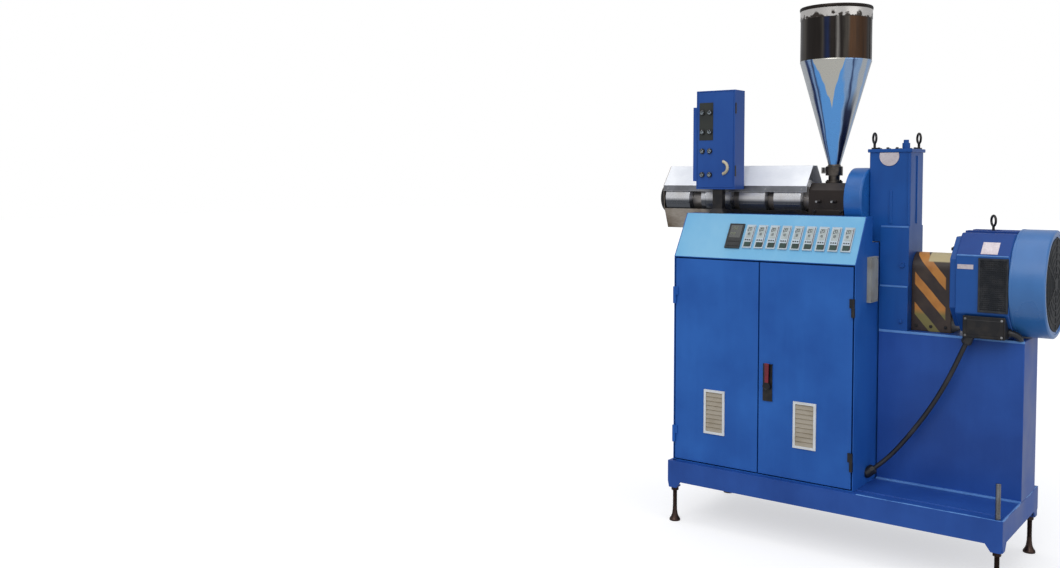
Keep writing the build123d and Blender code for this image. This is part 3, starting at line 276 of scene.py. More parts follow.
def weld(name, start, end, material, radius_mm=3.2):
    """A fillet weld: a round bead along a joint, with the ripples of the run."""
    start, end = Vector(start), Vector(end)
    length = (end - start).length
    rings = max(6, round(length / 0.006))
    bpy.ops.object.select_all(action="DESELECT")
    bpy.ops.mesh.primitive_cylinder_add(vertices=10, radius=radius_mm / 1000, depth=length,
                                        end_fill_type="NGON")
    bead = bpy.context.object
    bead.name = name
    bpy.ops.object.mode_set(mode="EDIT")
    mesh = bmesh.from_edit_mesh(bead.data)
    bpy.ops.mesh.select_all(action="DESELECT")
    for edge in mesh.edges:
        edge.select_set(abs(edge.verts[0].co.z - edge.verts[1].co.z) > length / 2)
    bpy.ops.mesh.subdivide(number_cuts=rings)
    mesh = bmesh.from_edit_mesh(bead.data)
    for point in mesh.verts:
        swell = 1 + 0.16 * math.sin(point.co.z * 1100) + 0.06 * math.sin(point.co.z * 170)
        point.co.x *= swell
        point.co.y *= swell
    bmesh.update_edit_mesh(bead.data)
    bpy.ops.object.mode_set(mode="OBJECT")
    bead.rotation_euler = (end - start).to_track_quat("Z", "Y").to_euler()
    bead.location = (start + end) / 2
    only(bead)
    bpy.ops.object.transform_apply(location=True, rotation=True, scale=True)
    return fit_out(bead, material, smooth=60)


weld("pedestal_front_weld", at(733, 235.5, 229.5), at(1199, 235.5, 229.5), base_enamel)
weld("pedestal_back_weld", at(733, 428.5, 229.5), at(1199, 428.5, 229.5), base_enamel)
weld("cabinet_side_weld", at(36.5, 30, 229.5), at(36.5, 450, 229.5), base_enamel, radius_mm=2.4)
weld("deck_front_weld", at(34, 52, 229.3), at(1195, 52, 229.3), base_enamel, radius_mm=2.2)
weld("deck_back_weld", at(34, 427.8, 229.3), at(1195, 427.8, 229.3), base_enamel, radius_mm=2.2)


# Screw feet: turned steel pads on M16 studs, oiled and rusting, each with a lock
# nut under the base. A zinc-plated stud stands up at the front right corner.
def edit(piece):
    """Opens one piece in edit mode with nothing in it selected."""
    only(piece)
    bpy.ops.object.mode_set(mode="EDIT")
    bpy.ops.mesh.select_mode(type="FACE")
    bpy.ops.mesh.select_all(action="DESELECT")


def pick(piece, test):
    """In edit mode, selects only the faces whose middle and normal pass the test."""
    bpy.ops.mesh.select_all(action="DESELECT")
    mesh = bmesh.from_edit_mesh(piece.data)
    for face in mesh.faces:
        face.select_set(test(face.calc_center_median(), face.normal))
    bmesh.update_edit_mesh(piece.data)


def settle():
    """Back to object mode, with place, turn and scale put into the mesh."""
    if bpy.context.mode != "OBJECT":
        bpy.ops.object.mode_set(mode="OBJECT")
    bpy.ops.object.transform_apply(location=True, rotation=True, scale=True)
    return bpy.context.object


def add_round(name, start, end, radius_mm, sides=32):
    """A cylinder between two points, its place in its mesh."""
    start, end = Vector(start), Vector(end)
    bpy.ops.object.select_all(action="DESELECT")
    bpy.ops.mesh.primitive_cylinder_add(
        vertices=sides, radius=radius_mm / 1000, depth=(end - start).length,
        location=(start + end) / 2, rotation=(end - start).to_track_quat("Z", "Y").to_euler())
    bpy.context.object.name = name
    return settle()


def add_block(name, low, high):
    """A box between two corners, its place in its mesh."""
    low, high = Vector(low), Vector(high)
    bpy.ops.object.select_all(action="DESELECT")
    bpy.ops.mesh.primitive_cube_add(size=1, location=(low + high) / 2, scale=high - low)
    bpy.context.object.name = name
    return settle()


def copy_to(piece, moves):
    """Copies of a finished piece, each with its own mesh moved by one vector or matrix."""
    made = []
    for i, move in enumerate(moves):
        twin = piece.copy()
        twin.data = piece.data.copy()
        twin.name = f"{piece.name}_{i + 2}"
        twin.data.transform(Matrix.Translation(move) if isinstance(move, Vector) else move)
        bpy.context.scene.collection.objects.link(twin)
        made.append(twin)
    return made


def press(piece, way, *steps):
    """Works the faces that look one way, in mm: each step insets them, then extrudes them out and narrows the
    end by a factor. A step without that factor moves the inset faces out or in instead."""
    way = Vector(way)
    edit(piece)
    pick(piece, lambda middle, normal: normal.dot(way) > 0.9)
    for inset_mm, out_mm, *narrower in steps:
        if inset_mm:
            bpy.ops.mesh.inset(thickness=inset_mm / 1000)
        if narrower:
            bpy.ops.mesh.extrude_region_move(TRANSFORM_OT_translate={"value": way * (out_mm / 1000)})
            bpy.ops.transform.resize(value=narrower * 3)
        else:
            bpy.ops.transform.translate(value=way * (out_mm / 1000))
    settle()


def bright_steel(name, colour, dull, roughness, grain, brush_mm, metallic=1.0):
    """Bare or plated steel: metal with a brushed or turned grain and cloudy tarnish."""
    made, tree, shader, place = new_material(name, colour, metallic, roughness)
    stretched = add_node(tree, "Mapping", {"Scale": grain}, {"Vector": place})
    lines = speckled(tree, stretched, brush_mm, 0.3, 0.7, 3.0)
    cloud = speckled(tree, place, 90, 0.4, 0.72, 4.0)
    mean = add_node(tree, "Math", {"operation": "MULTIPLY_ADD", 1: 0.4, "use_clamp": True},
                    {0: lines, 2: cloud})
    dress(tree, shader, mean, (colour, dull), (roughness, roughness + 0.18), lines, 0.25, 0.2)
    return made


# Zinc-plated steel: pale grey metal, clouded by handling, with fine turning lines.
zinc_steel = bright_steel("zinc_plated_steel", "#A9ABAE", "#6E6A66", 0.28, (1.0, 1.0, 6.0), 6)

# Oiled black steel, rusting brown: dark metal with a soft sheen.
foot_steel = bright_steel("oiled_foot_steel", "#5A4A44", "#2A201D", 0.34, (1.0, 1.0, 6.0), 8)

foot_pad = add_round("foot_pad_1", at(46, 20, 0), at(46, 20, 6), 20)
press(foot_pad, (0, 0, 1), (0, 4, 0.88), (0, 6, 0.78), (0, 8, 0.78), (0, 10, 0.86), (0, 8, 0.9),
      (0, 12, 0.97))
fit_out(foot_pad, foot_steel, 0.8)

foot_nut = add_round("foot_nut_1", at(46, 20, 115), at(46, 20, 128), 13.6, 6)
press(foot_nut, (0, 0, -1), (1.2, 1))
fit_out(foot_nut, foot_steel, 0.6)


def threaded(name, x, y, z0, z1, radius_mm, steel, pitch_mm=2.0, depth_mm=1.3):
    """A stud's thread: one V of the thread turned and lifted along the stud by a screw modifier."""
    core = add_round(name + "_core", at(x, y, z0), at(x, y, z1), radius_mm - 1.1, 24)
    fit_out(core, steel, 0.8)
    bpy.ops.object.select_all(action="DESELECT")
    bpy.ops.mesh.primitive_plane_add(size=0.002)
    ridge = bpy.context.object
    ridge.name = name
    bpy.ops.object.mode_set(mode="EDIT")
    bpy.ops.mesh.select_all(action="SELECT")
    bpy.ops.mesh.delete(type="ONLY_FACE")
    mesh = bmesh.from_edit_mesh(ridge.data)
    corners = sorted(mesh.verts, key=lambda v: (v.co.x, v.co.y))
    corners[0].co = ((radius_mm - depth_mm) / 1000, 0, 0)
    corners[1].co = (radius_mm / 1000, 0, pitch_mm / 2000)
    mesh.verts.remove(corners[3])
    corners[2].co = ((radius_mm - depth_mm) / 1000, 0, pitch_mm / 1000)
    for edge in list(mesh.edges):
        mesh.edges.remove(edge)
    mesh.edges.new((corners[0], corners[1]))
    mesh.edges.new((corners[1], corners[2]))
    bmesh.update_edit_mesh(ridge.data)
    bpy.ops.object.mode_set(mode="OBJECT")
    turns = ridge.modifiers.new("thread", "SCREW")
    turns.screw_offset = pitch_mm / 1000
    turns.iterations = int((z1 - z0) / pitch_mm) - 1
    turns.steps = turns.render_steps = 18
    turns.use_merge_vertices = True
    bpy.ops.object.modifier_apply(modifier=turns.name)
    ridge.location = at(x, y, z0 + 1)
    settle()
    only(ridge)
    bpy.ops.object.mode_set(mode="EDIT")
    bpy.ops.mesh.select_all(action="SELECT")
    bpy.ops.mesh.remove_doubles(threshold=0.00001)
    bpy.ops.mesh.normals_make_consistent(inside=False)
    bpy.ops.object.mode_set(mode="OBJECT")
    return fit_out(ridge, steel, smooth=20)


foot_spots = [(46, 20), (1183, 20), (46, 460), (1183, 460)]
foot_moves = [at(x, y, 0) - at(46, 20, 0) for x, y in foot_spots[1:]]
copy_to(foot_pad, foot_moves)
copy_to(foot_nut, foot_moves)
foot_thread = threaded("foot_thread_1", 46, 20, 40, 228, 8, foot_steel)
copy_to(foot_thread, foot_moves)
copy_to(bpy.data.objects["foot_thread_1_core"], foot_moves)
threaded("tall_stud", 1183, 20, 228, 340, 8, zinc_steel)
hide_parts("screw_feet")


# Cabinet: 3 mm sheet steel, folded and welded, sprayed a brighter blue than
# the base. The door frame is spot welded inside, 23 mm back from the front.
# Stove enamel on sheet: semi-gloss and even, wavy enough to bend reflections.
cabinet_enamel = enamel("cabinet_stove_enamel", "#1F56A6", "#2B66B8", 0.36, 0.7)
for node_name, edge_mm in (("cabinet_left_wall", 1.0), ("cabinet_right_wall", 1.0),
                           ("cabinet_back_wall", 0.8), ("cabinet_floor", 0.8),
                           ("cabinet_top", 1.0), ("cabinet_door_frame", 0.8)):
    soften(node_name, cabinet_enamel, edge_mm)


# Sloping control panel: one folded sheet between the side walls, sprayed a
# pale blue. Its lower edge laps the top of the doors.
# A paler blue enamel, paler also as a painted highlight of the light on the upward slope: even, glossy and a
# little chalky in patches.
panel_enamel = enamel("pale_panel_enamel", "#6FB2DC", "#86C0E2", 0.32, 0.5)
soften("control_panel", panel_enamel, 0.8)


# Temperature controllers: nine pale grey ABS cases clipped into the panel, each
# with a grey liquid-crystal window, three keys and a dark rocker at its foot.
slope_right = Vector((1, 0, 0))
slope_up = Vector((0, 95, 157)).normalized()
slope_out = slope_right.cross(slope_up)


def slope_place(across_mm, up_mm):
    """The matrix that carries a piece modelled flat at the origin onto the sloping panel."""
    turn = Matrix((slope_right, slope_up, slope_out)).transposed().to_4x4()
    return Matrix.Translation(at(37 + across_mm, 20, 995) + slope_up * (up_mm / 1000)) @ turn


def flat_block(name, x0, x1, y0, y1, z0, z1):
    """A box modelled flat at the origin, from limits in millimetres."""
    return add_block(name, (x0 / 1000, y0 / 1000, z0 / 1000), (x1 / 1000, y1 / 1000, z1 / 1000))


def joined(name, pieces):
    """Joins pieces that are one moulding or one print into one mesh."""
    bpy.ops.object.select_all(action="DESELECT")
    for piece in pieces:
        piece.select_set(True)
    bpy.context.view_layer.objects.active = pieces[0]
    bpy.ops.object.join()
    pieces[0].name = name
    return pieces[0]


SEGMENTS = {"0": "abcdef", "1": "bc", "2": "abged", "3": "abgcd", "4": "fgbc", "5": "afgcd", "6": "afgedc",
            "7": "abc", "8": "abcdefg", "9": "abfgcd"}
SEGMENT_SPOTS = {"a": (0, 1, 0), "b": (0.5, 0.5, 1), "c": (0.5, -0.5, 1), "d": (0, -1, 0),
                 "e": (-0.5, -0.5, 1), "f": (-0.5, 0.5, 1), "g": (0, 0, 0)}


def digits(name, figures, x_mm, y_mm, tall_mm, z_mm):
    """A row of seven-bar figures, each bar a slim six-sided block."""
    bars, half, quarter_turn = [], tall_mm / 2, math.pi / 2
    for place_number, figure in enumerate(figures):
        for segment in SEGMENTS[figure]:
            across, up, upright = SEGMENT_SPOTS[segment]
            bpy.ops.object.select_all(action="DESELECT")
            bpy.ops.mesh.primitive_cylinder_add(
                vertices=6, radius=tall_mm * 0.085 / 1000, depth=half * 0.82 / 1000,
                rotation=(quarter_turn, 0, 0) if upright else (0, quarter_turn, 0))
            bar = bpy.context.object
            bar_x = x_mm + (place_number * 0.72 + across * 0.46) * tall_mm
            bar.location = (bar_x / 1000, (y_mm + up * half) / 1000, z_mm / 1000)
            settle()
            bars.append(bar)
    return joined(name, bars)


# Case of pale grey ABS, matt, yellowed a little; keys and rocker of dark ABS.
case_plastic = moulded("pale_grey_abs_case", "#BFCDD6", "#B2BDC2", 0.42, 2.0, 0.05)
rocker_plastic = moulded("dark_green_abs_rocker", "#16302A", "#24463C", 0.35, 2.0, 0.04)
print_black = moulded("printed_black_figures", "#20262B", "#2E3438", 0.4, 2.0, 0.02)
# Dark maroon ABS for a strip down each case's right edge: a painted shadow where the case meets its housing.
shadow_strip_abs = moulded("painted_shadow_side_strip", "#4A2A30", "#5B3A3C", 0.45, 2.0, 0.04)


def window_glass(name, colour, deep, roughness):
    """A display behind clear acrylic: glossy and even, darker in small patches."""
    made, tree, shader, place = new_material(name, colour, 0.0, roughness)
    dress(tree, shader, speckled(tree, place, 22, 0.35, 0.7, 1.0), (colour, deep))
    shader.inputs["Coat Weight"].default_value = 0.8
    shader.inputs["Coat Roughness"].default_value = 0.03
    return made


# Unlit liquid crystal under acrylic: grey-green with a clear glossy front.
lcd_glass = window_glass("grey_lcd_window", "#A9B4B4", "#94A09F", 0.25)

case = flat_block("controller_case", -17, 17, -47, 47, 0, 6)
press(case, (0, 0, 1), (2.2, -1.2, 1))
fit_out(case, case_plastic, 0.7)
window = flat_block("controller_window", -12.5, 9.5, -6, 40, 4.0, 5.2)
fit_out(window, lcd_glass, 0.4)
upper = digits("controller_figures", "20", -8.2, 30, 11.5, 5.1)
lower = digits("controller_lower", "18", -8.2, 10, 9.0, 5.1)
scale_marks = [flat_block("scale_mark", -11.5, -6 + 3 * (i % 2), 20.5 + i * 1.4, 21.1 + i * 1.4, 5.1, 5.4)
               for i in range(3)]
figures = joined("controller_figures", [upper, lower] + scale_marks)
fit_out(figures, print_black)
keys = joined("controller_keys",
              [flat_block("key", -12.5 + i * 8, -7.5 + i * 8, -17, -12, 4.6, 6.0) for i in range(3)])
fit_out(keys, print_black, 0.5)
rocker = flat_block("controller_rocker", -12, 12, -42, -23, 4.4, 6.2)
press(rocker, (0, 0, 1), (2, -0.8))
fit_out(rocker, rocker_plastic, 0.5)
# The strip on the case's right edge is a painted shadow.
case_shadow_strip = flat_block("controller_shadow_strip", 12.4, 15.2, -40, 42, 4.4, 5.9)
fit_out(case_shadow_strip, shadow_strip_abs, 0.4)
controller_middles = [688 - 45 - i * 45.3 for i in range(9)]
for piece in (case, window, figures, keys, rocker, case_shadow_strip):
    copy_to(piece, [slope_place(x, 91) for x in controller_middles[1:]])
    piece.data.transform(slope_place(controller_middles[0], 91))
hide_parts("temperature_controllers")


# Main meter: one black ABS instrument left of the controllers, the same height
# but twice as wide, with a smoked window and three rows of faint figures.
meter_plastic = moulded("black_abs_case", "#1B1D1F", "#2B2C2C", 0.38, 2.0, 0.05)
# Smoked acrylic: nearly black and glossy.
smoked_window = window_glass("smoked_acrylic_window", "#262B2A", "#31352F", 0.15)
# Printed figures in dull olive, low in contrast.
olive_print = moulded("olive_figures", "#79806A", "#8A8C72", 0.5, 2.0, 0.02)
meter = flat_block("main_meter_case", -29, 29, -50, 50, 0, 6)
press(meter, (0, 0, 1), (4, -1.5, 1))
fit_out(meter, meter_plastic, 0.8)
meter_window = flat_block("main_meter_window", -22, 22, -8, 44, 4.2, 5.4)
fit_out(meter_window, smoked_window, 0.4)
meter_figures = joined("main_meter_figures",
                       [digits("row_1", "152", -15, 31, 12, 5.3), digits("row_2", "048", -15, 9, 9, 5.3)])
fit_out(meter_figures, olive_print)
meter_keys = joined("main_meter_keys", [
    flat_block("key", -22 + i * 11.5, -12.5 + i * 11.5, y, y + 8, 4.4,
               6.1) for i in range(4) for y in (-24, -42)])
fit_out(meter_keys, meter_plastic, 0.8)
meter_middle = controller_middles[-1] - 57
for piece in (meter, meter_window, meter_figures, meter_keys):
    piece.data.transform(slope_place(meter_middle, 91))
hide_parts("main_meter")


# Doors: two folded pans in the cabinet's blue, hung on pins at their outer
# edges. The halves of the hinges welded to them are blacked steel.
def blacked(name, colour, worn, roughness):
    """Steel with a black oxide or black paint: dark, with a soft metallic rub on what is handled."""
    made, tree, shader, place = new_material(name, colour, 0.35, roughness)
    grit = add_node(tree, "TexNoise", {"Scale": 400.0, "Detail": 2.0}, {"Vector": place})
    patch = speckled(tree, place, 30, 0.45, 0.7, 4.0)
    dress(tree, shader, patch, (colour, worn), None, grit, 0.4, 0.1)
    return made


# Black-oxide steel: near black, satin, browner where it rubs.
black_oxide = blacked("black_oxide_steel", "#17171A", "#2C2825", 0.4)
soften("door_left", cabinet_enamel, 1.2, 3, body="left_door")
right_door = soften("door_right", cabinet_enamel, 1.2, 3, body="right_door")
hinges = soften("door_hinges", cabinet_enamel, 0.6)
for piece in (right_door, hinges):
    piece.data.materials.append(black_oxide)
    for face in piece.data.polygons:
        if face.center.y < at(0, 19.6, 0).y and abs(face.center.x - at(719.5, 0, 0).x) < 0.016:
            face.material_index = 1


# Vent grilles: moulded ABS frames with nine slanted louvres, clipped over a
# hole in each door, with a filter pad of coarse foam behind the louvres.
# Moulded ABS, cream going brown with dust in the louvres; the rim is paler.
vent_plastic = moulded("cream_abs_louvres", "#A79E8E", "#978C7A", 0.55, 3.0, 0.08)
rim_plastic = moulded("pale_abs_rim", "#DADDDF", "#C9C9C4", 0.45, 3.0, 0.05)
# Open-cell filter foam: matt, dusty brown, its cells drawn at 4 mm.
filter_foam = moulded("dusty_filter_foam", "#A39478", "#85755C", 0.9, 4.0, 1.2)
for node_name, body, middle_x in (("vent_left", "left_door", 207.5), ("vent_right", "right_door", 553)):
    vent = soften(node_name, vent_plastic, 0.35, body=body)
    vent.data.materials.append(rim_plastic)
    low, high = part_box(node_name)
    for face in vent.data.polygons:
        middle = face.center
        flush = face.normal.y < -0.95 and middle.y - low[1] < 0.001
        from_side = min(middle.x - low[0], high[0] - middle.x)
        if flush or min(from_side, middle.z - low[2], high[2] - middle.z) < 0.0085:
            face.material_index = 1
    pad = add_block(node_name + "_filter", at(middle_x - 36, 19.2, 356), at(middle_x + 36, 27, 504))
    edit(pad)
    pick(pad, lambda middle, normal: normal.y < -0.9)
    bpy.ops.mesh.subdivide(number_cuts=5)
    settle()
    fit_out(pad, filter_foam, 1.5, body=body)


# Door handle: a red moulded grip over a black lever, turning on a spindle in
# the black backplate that is screwed to the right door.
# Glossy ABS, signal red, duller where the hand rubs it.
red_grip = moulded("red_abs_grip", "#7A1626", "#4A141E", 0.32, 2.0, 0.04)
lever = add_block("door_handle_grip", at(404, 3, 562), at(428, 11, 634))
edit(lever)
bpy.ops.mesh.subdivide(number_cuts=1)
pick(lever, lambda middle, normal: normal.z < -0.9)
bpy.ops.transform.resize(value=(0.55, 0.85, 1))
pick(lever, lambda middle, normal: normal.z > 0.9)
bpy.ops.transform.resize(value=(0.7, 0.85, 1))
bpy.ops.mesh.select_all(action="DESELECT")
settle()
fit_out(lever, red_grip, 3.0, 4, body="handle")
boss = add_round("door_handle_boss", at(416, 3.4, 553), at(416, 12, 553), 14)
press(boss, (0, -1, 0), (3.5, -1.5, 0.95))
fit_out(boss, black_oxide, 0.8, body="handle")
spindle = add_round("door_handle_spindle", at(416, 11, 553), at(416, 38, 553), 6, 24)
fit_out(spindle, zinc_steel, 0.8, body="handle")
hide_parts("door_handle")
backplate = add_block("door_handle_plate", at(398, 14.6, 499), at(434, 20, 631))
press(backplate, (0, -1, 0), (3, -1.5))
fit_out(backplate, black_oxide, 1.2, 3, body="right_door")


# Side box: a flat grey junction box on the cabinet's right wall, its lid held
# by four small screws.
# Light grey ABS, matt, a little dusty.
box_plastic = moulded("light_grey_abs_lid", "#9C9D96", "#86847A", 0.5, 2.5, 0.06)
low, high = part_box("side_box")
side_box = add_block("side_box_case", low, high)
press(side_box, (1, 0, 0), (4, -1.4, 1), (1.6, 1.4, 1))
fit_out(side_box, box_plastic, 1.0)
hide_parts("side_box")


def screw_head(name, spot, way, radius_mm, material, sides, tall_mm):
    """A bolt or screw head standing on a surface: a washer under a hexagon or a round head."""
    spot, way = Vector(spot), Vector(way).normalized()
    washer = add_round(name + "_washer", spot - way * 0.0005, spot + way * 0.0012, radius_mm * 1.45, 20)
    head = add_round(name, spot + way * 0.001, spot + way * (tall_mm / 1000), radius_mm, sides)
    press(head, way, (radius_mm * 0.22, 0.6))
    head = joined(name, [head, washer])
    return fit_out(head, material, 0.25)


def screw_row(name, spots, way, radius_mm, material, sides, tall_mm):
    """Equal screw heads: one at the first spot and copies of it at the others."""
    first = screw_head(name, spots[0], way, radius_mm, material, sides, tall_mm)
    copy_to(first, [spot - spots[0] for spot in spots[1:]])


lid_corners = [at(738.2, y, z) for z in (866, 1008) for y in (131, 191)]
screw_row("side_box_screw_1", lid_corners, (1, 0, 0), 2.4, zinc_steel, 16, 1.6)


# Cable glands: moulded nylon, black, one turned through an elbow at the
# cabinet's foot and one under the terminal box, both gripping the cable.
# Black nylon, satin with a fine mould grain.
gland_nylon = moulded("black_nylon_gland", "#1A1A1D", "#2B2B2C", 0.45, 2.0, 0.08)
soften("cable_glands", gland_nylon, 1.0, 2, 40)
for number, (mouth, inner) in enumerate((cable_route[:2], cable_route[:-3:-1])):
    way = (Vector(inner) - Vector(mouth)).normalized()
    nut = add_round(f"gland_nut_{number + 1}", Vector(mouth) - way * 0.010, Vector(mouth) + way * 0.003,
                    17.8, 8)
    press(nut, way, (2.5, 4, 0.9))
    fit_out(nut, gland_nylon, 0.8)

# Barrel and die flange: nitrided steel, turned and drilled. The flange at the
# end takes the die; its bolt holes stay open.
# Nitrided steel with a turned grain, clouded by heat, coloured a paler grey than the steel's own dark grey:
# painted light in the shaded gaps between the heaters.
nitrided_steel = bright_steel("nitrided_barrel_steel", "#A8A39E", "#7F7872", 0.34, (6.0, 1.0, 1.0), 8, 0.6)
soften("barrel", nitrided_steel, 0.0)
# Blacked and oily: almost black, with a faint sheen.
flange_steel = blacked("oily_black_flange", "#151518", "#2A2624", 0.32)
soften("die_flange", flange_steel, 1.2)
soften("barrel_cradle", black_oxide, 1.5)

# Heater bands: four polished stainless cylinders clamped round the barrel,
# each with a lapped joint, a clamping screw and a ceramic terminal.
# Mirror-rolled stainless: bright, brushed round the band and duller where hot.
band_steel = bright_steel("rolled_stainless_band", "#F0F1F4", "#CFCCC8", 0.2, (14.0, 1.0, 1.0), 10, 0.55)
# Painted reflection: the lower half of each band is coloured dark grey, as the dark trough it mirrors.
tree, shader = band_steel.node_tree, band_steel.node_tree.nodes["Principled BSDF"]
place = add_node(tree, "TexCoord").outputs["Object"]
level = add_node(tree, "SeparateXYZ", {}, {"Vector": place}).outputs["Z"]
trough_reflection_half = passed(tree, (level, 1.208, 1.196))
upper_tone = shader.inputs["Base Color"].links[0].from_socket
both_tones = add_node(tree, "MixRGB", {"Color2": srgb("#54575C")}, {"Fac": trough_reflection_half, "Color1": upper_tone})
tree.links.new(both_tones.outputs[0], shader.inputs["Base Color"])
# White electrical ceramic, glazed.
ceramic = moulded("glazed_ceramic_terminal", "#DAD5C8", "#C4BCAA", 0.25, 2.0, 0.03)
low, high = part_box("heater_bands")
axis_y, axis_z = (low[1] + high[1]) / 2, (low[2] + high[2]) / 2
band_starts = [-112, 63, 202.5, 342]


def band_sleeve(name, x0, x1, radius_mm, wall_mm):
    """A short tube round the barrel, its ends turned square with broken edges."""
    tube = add_round(name, (at(x0, 0, 0).x, axis_y, axis_z), (at(x1, 0, 0).x, axis_y, axis_z), radius_mm, 72)
    edit(tube)
    pick(tube, lambda middle, normal: abs(normal.x) > 0.9)
    bpy.ops.mesh.inset(thickness=0.0018)
    bpy.ops.mesh.inset(thickness=wall_mm / 1000 - 0.0018)
    bpy.ops.mesh.delete(type="FACE")
    bpy.ops.mesh.select_all(action="DESELECT")
    mesh = bmesh.from_edit_mesh(tube.data)
    for edge in mesh.edges:
        edge.select_set(edge.is_boundary)
    bpy.ops.mesh.bridge_edge_loops()
    bpy.ops.mesh.select_all(action="SELECT")
    bpy.ops.mesh.normals_make_consistent(inside=False)
    settle()
    return fit_out(tube, band_steel, 1.0, 2, 30)


band = band_sleeve("heater_band_1", -112, -7, 75, 28.8)
band_sleeve("probe_sleeve", 39, 58, 66, 20)
lap = add_block("heater_lap_1", at(-110, 208.6, 1186), at(-9, 212, 1190))
fit_out(lap, band_steel, 0.8)
lug = add_block("heater_lug_1", at(-72, 254, 1123), at(-40, 264, 1137))
edit(lug)
pick(lug, lambda middle, normal: normal.z < -0.9)
bpy.ops.transform.resize(value=(0.8, 0.7, 1))
settle()
fit_out(lug, zinc_steel, 1.0)
lug_screw = add_round("heater_clamp_screw_1", at(-56, 248, 1130), at(-56, 322, 1130), 3, 16)
fit_out(lug_screw, zinc_steel, 0.5)
terminal = add_block("heater_terminal_1", at(-70, 268, 1278.5), at(-42, 302, 1292))
press(terminal, (0, 0, 1), (3, 4, 0.9))
fit_out(terminal, ceramic, 1.2, 3)
band_moves = [at(x, 0, 0) - at(-112, 0, 0) for x in band_starts[1:]]
for piece in (band, lap, lug, lug_screw, terminal):
    copy_to(piece, band_moves)
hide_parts("heater_bands")

# Barrel cover: stainless sheet folded into a roof over the heaters and a
# trough below them, closed at the die end by a plate with a round hole.
# Polished stainless sheet, brushed along its length; it mirrors the room.
cover_steel = bright_steel("polished_cover_sheet", "#F2F4F7", "#E4E7EC", 0.3, (1.0, 9.0, 9.0), 12, 0.35)
# The trough has been heated from above: duller, with brown clouds.
trough_steel = bright_steel("heat_stained_trough", "#A9A197", "#6E6254", 0.3, (1.0, 6.0, 6.0), 16)
cover_roof = soften("barrel_cover_roof", cover_steel, 0.5)
# Painted reflection: the roof's upright lips are coloured a darker grey, as the dark trough below them that
# they mirror.
lip_steel = bright_steel("shaded_cover_lip", "#8D8F94", "#6E6F72", 0.3, (1.0, 9.0, 9.0), 12)
cover_roof.data.materials.append(lip_steel)
for face in cover_roof.data.polygons:
    if abs(face.normal.y) > 0.95 and face.center.z < 1.27:
        face.material_index = 1
soften("barrel_trough", trough_steel, 0.5)
soften("barrel_cover_end", trough_steel, 0.5)
cover_spots = [at(x, 207.2, 1243) for x in (-100, 35, 172, 312, 452)]
screw_row("cover_screw_1", cover_spots, (0, -1, 0), 2.6, zinc_steel, 16, 1.8)


# Feed block: a grey iron casting, black with oil, bolted to barrel and bearing
# housing, with a water jacket that two nipples feed.
def cast_metal(name, colour, dark, roughness, sand_mm, depth_mm, metallic=0.0):
    """A sand casting: the grit of the mould under paint or oil, darker in clouds."""
    made, tree, shader, place = new_material(name, colour, metallic, roughness)
    grit = {"Scale": 1000 / sand_mm, "Detail": 5.0, "Roughness": 0.6}
    sand = add_node(tree, "TexNoise", grit, {"Vector": place})
    cloud = speckled(tree, place, 110, 0.36, 0.7, 4.0)
    dress(tree, shader, cloud, (colour, dark), (roughness - 0.08, roughness + 0.12), sand, 0.55, depth_mm)
    return made


# Oiled grey iron: brown-black, satin, with sand grit drawn at 5 mm.
oiled_iron = cast_metal("oiled_grey_iron", "#2C231F", "#15110F", 0.42, 5, 0.5, 0.4)
soften("feed_block", oiled_iron, 3.0, 3)
feed_pad = add_block("feed_block_pad", at(492, 213.5, 1088), at(605, 219.6, 1172))
press(feed_pad, (0, -1, 0), (6, 2))
fit_out(feed_pad, oiled_iron, 1.5, 2)
feed_corners = [at(x, 212, z) for z in (1096, 1164) for x in (500, 597)]
screw_row("feed_bolt_1", feed_corners, (0, -1, 0), 5, black_oxide, 6, 6)
nipple = add_round("water_nipple_1", at(518, 216, 1200), at(518, 198, 1200), 5.5, 20)
press(nipple, (0, -1, 0), (0, 4, 0.75), (0, 12, 1))
fit_out(nipple, zinc_steel, 0.6)
copy_to(nipple, [at(574, 0, 0) - at(518, 0, 0)])

# Hopper neck and slide gate: a turned steel neck between two bolted flanges,
# slit for the plate that shuts the hopper off.
hopper_x, hopper_y = 543, 285
neck_steel = bright_steel("turned_neck_steel", "#6B655F", "#3A342F", 0.3, (1.0, 1.0, 9.0), 8)
soften("hopper_neck", neck_steel, 0.8, 2, 30)
soften("slide_gate", zinc_steel, 0.7, body="gate")
for turn in range(4):
    angle = math.radians(45 + 90 * turn)
    screw_head(f"neck_bolt_{turn + 1}",
               at(hopper_x + 25 * math.cos(angle), hopper_y + 25 * math.sin(angle), 1273), (0, 0, 1), 3.2,
               black_oxide, 6, 4)

# Hopper: polished stainless sheet rolled into a cone and a drum, welded at a
# seam that shows as a rounded bead, with a rolled rim at the top.
# Polished stainless: its streaks are painted reflections of the shop round it,
# running down the sheet and laid out by the turn round the hopper's axis.
def round_the_hopper(tree, place, ragged):
    """The turn round the axis, 0 to 1 from the sheet's left edge to its right one, with uneven borders."""
    own = add_node(tree, "VectorMath", {"operation": "SUBTRACT", 1: at(hopper_x, hopper_y, 0)}, {0: place})
    parts = add_node(tree, "SeparateXYZ", {}, {"Vector": own})
    around = add_node(tree, "Math", {"operation": "ARCTAN2"}, {0: parts.outputs["Y"], 1: parts.outputs["X"]})
    halves = add_node(tree, "Math", {"operation": "MULTIPLY_ADD", 1: 1 / math.pi, 2: 68.6 / 180 + 0.5},
                      {0: around})
    turn = add_node(tree, "Math", {"operation": "FRACT"}, {0: halves})
    tall = add_node(tree, "Mapping", {"Scale": (1.0, 1.0, 0.12)}, {"Vector": place})
    wander = add_node(tree, "TexNoise", {"Scale": 26.0, "Detail": 2.0}, {"Vector": tall})
    shift = add_node(tree, "Math", {"operation": "MULTIPLY_ADD", 1: ragged, 2: -ragged / 2}, {0: wander})
    uneven = add_node(tree, "Math", {"operation": "ADD", "use_clamp": True}, {0: turn, 1: shift})
    return uneven, parts.outputs["Z"]


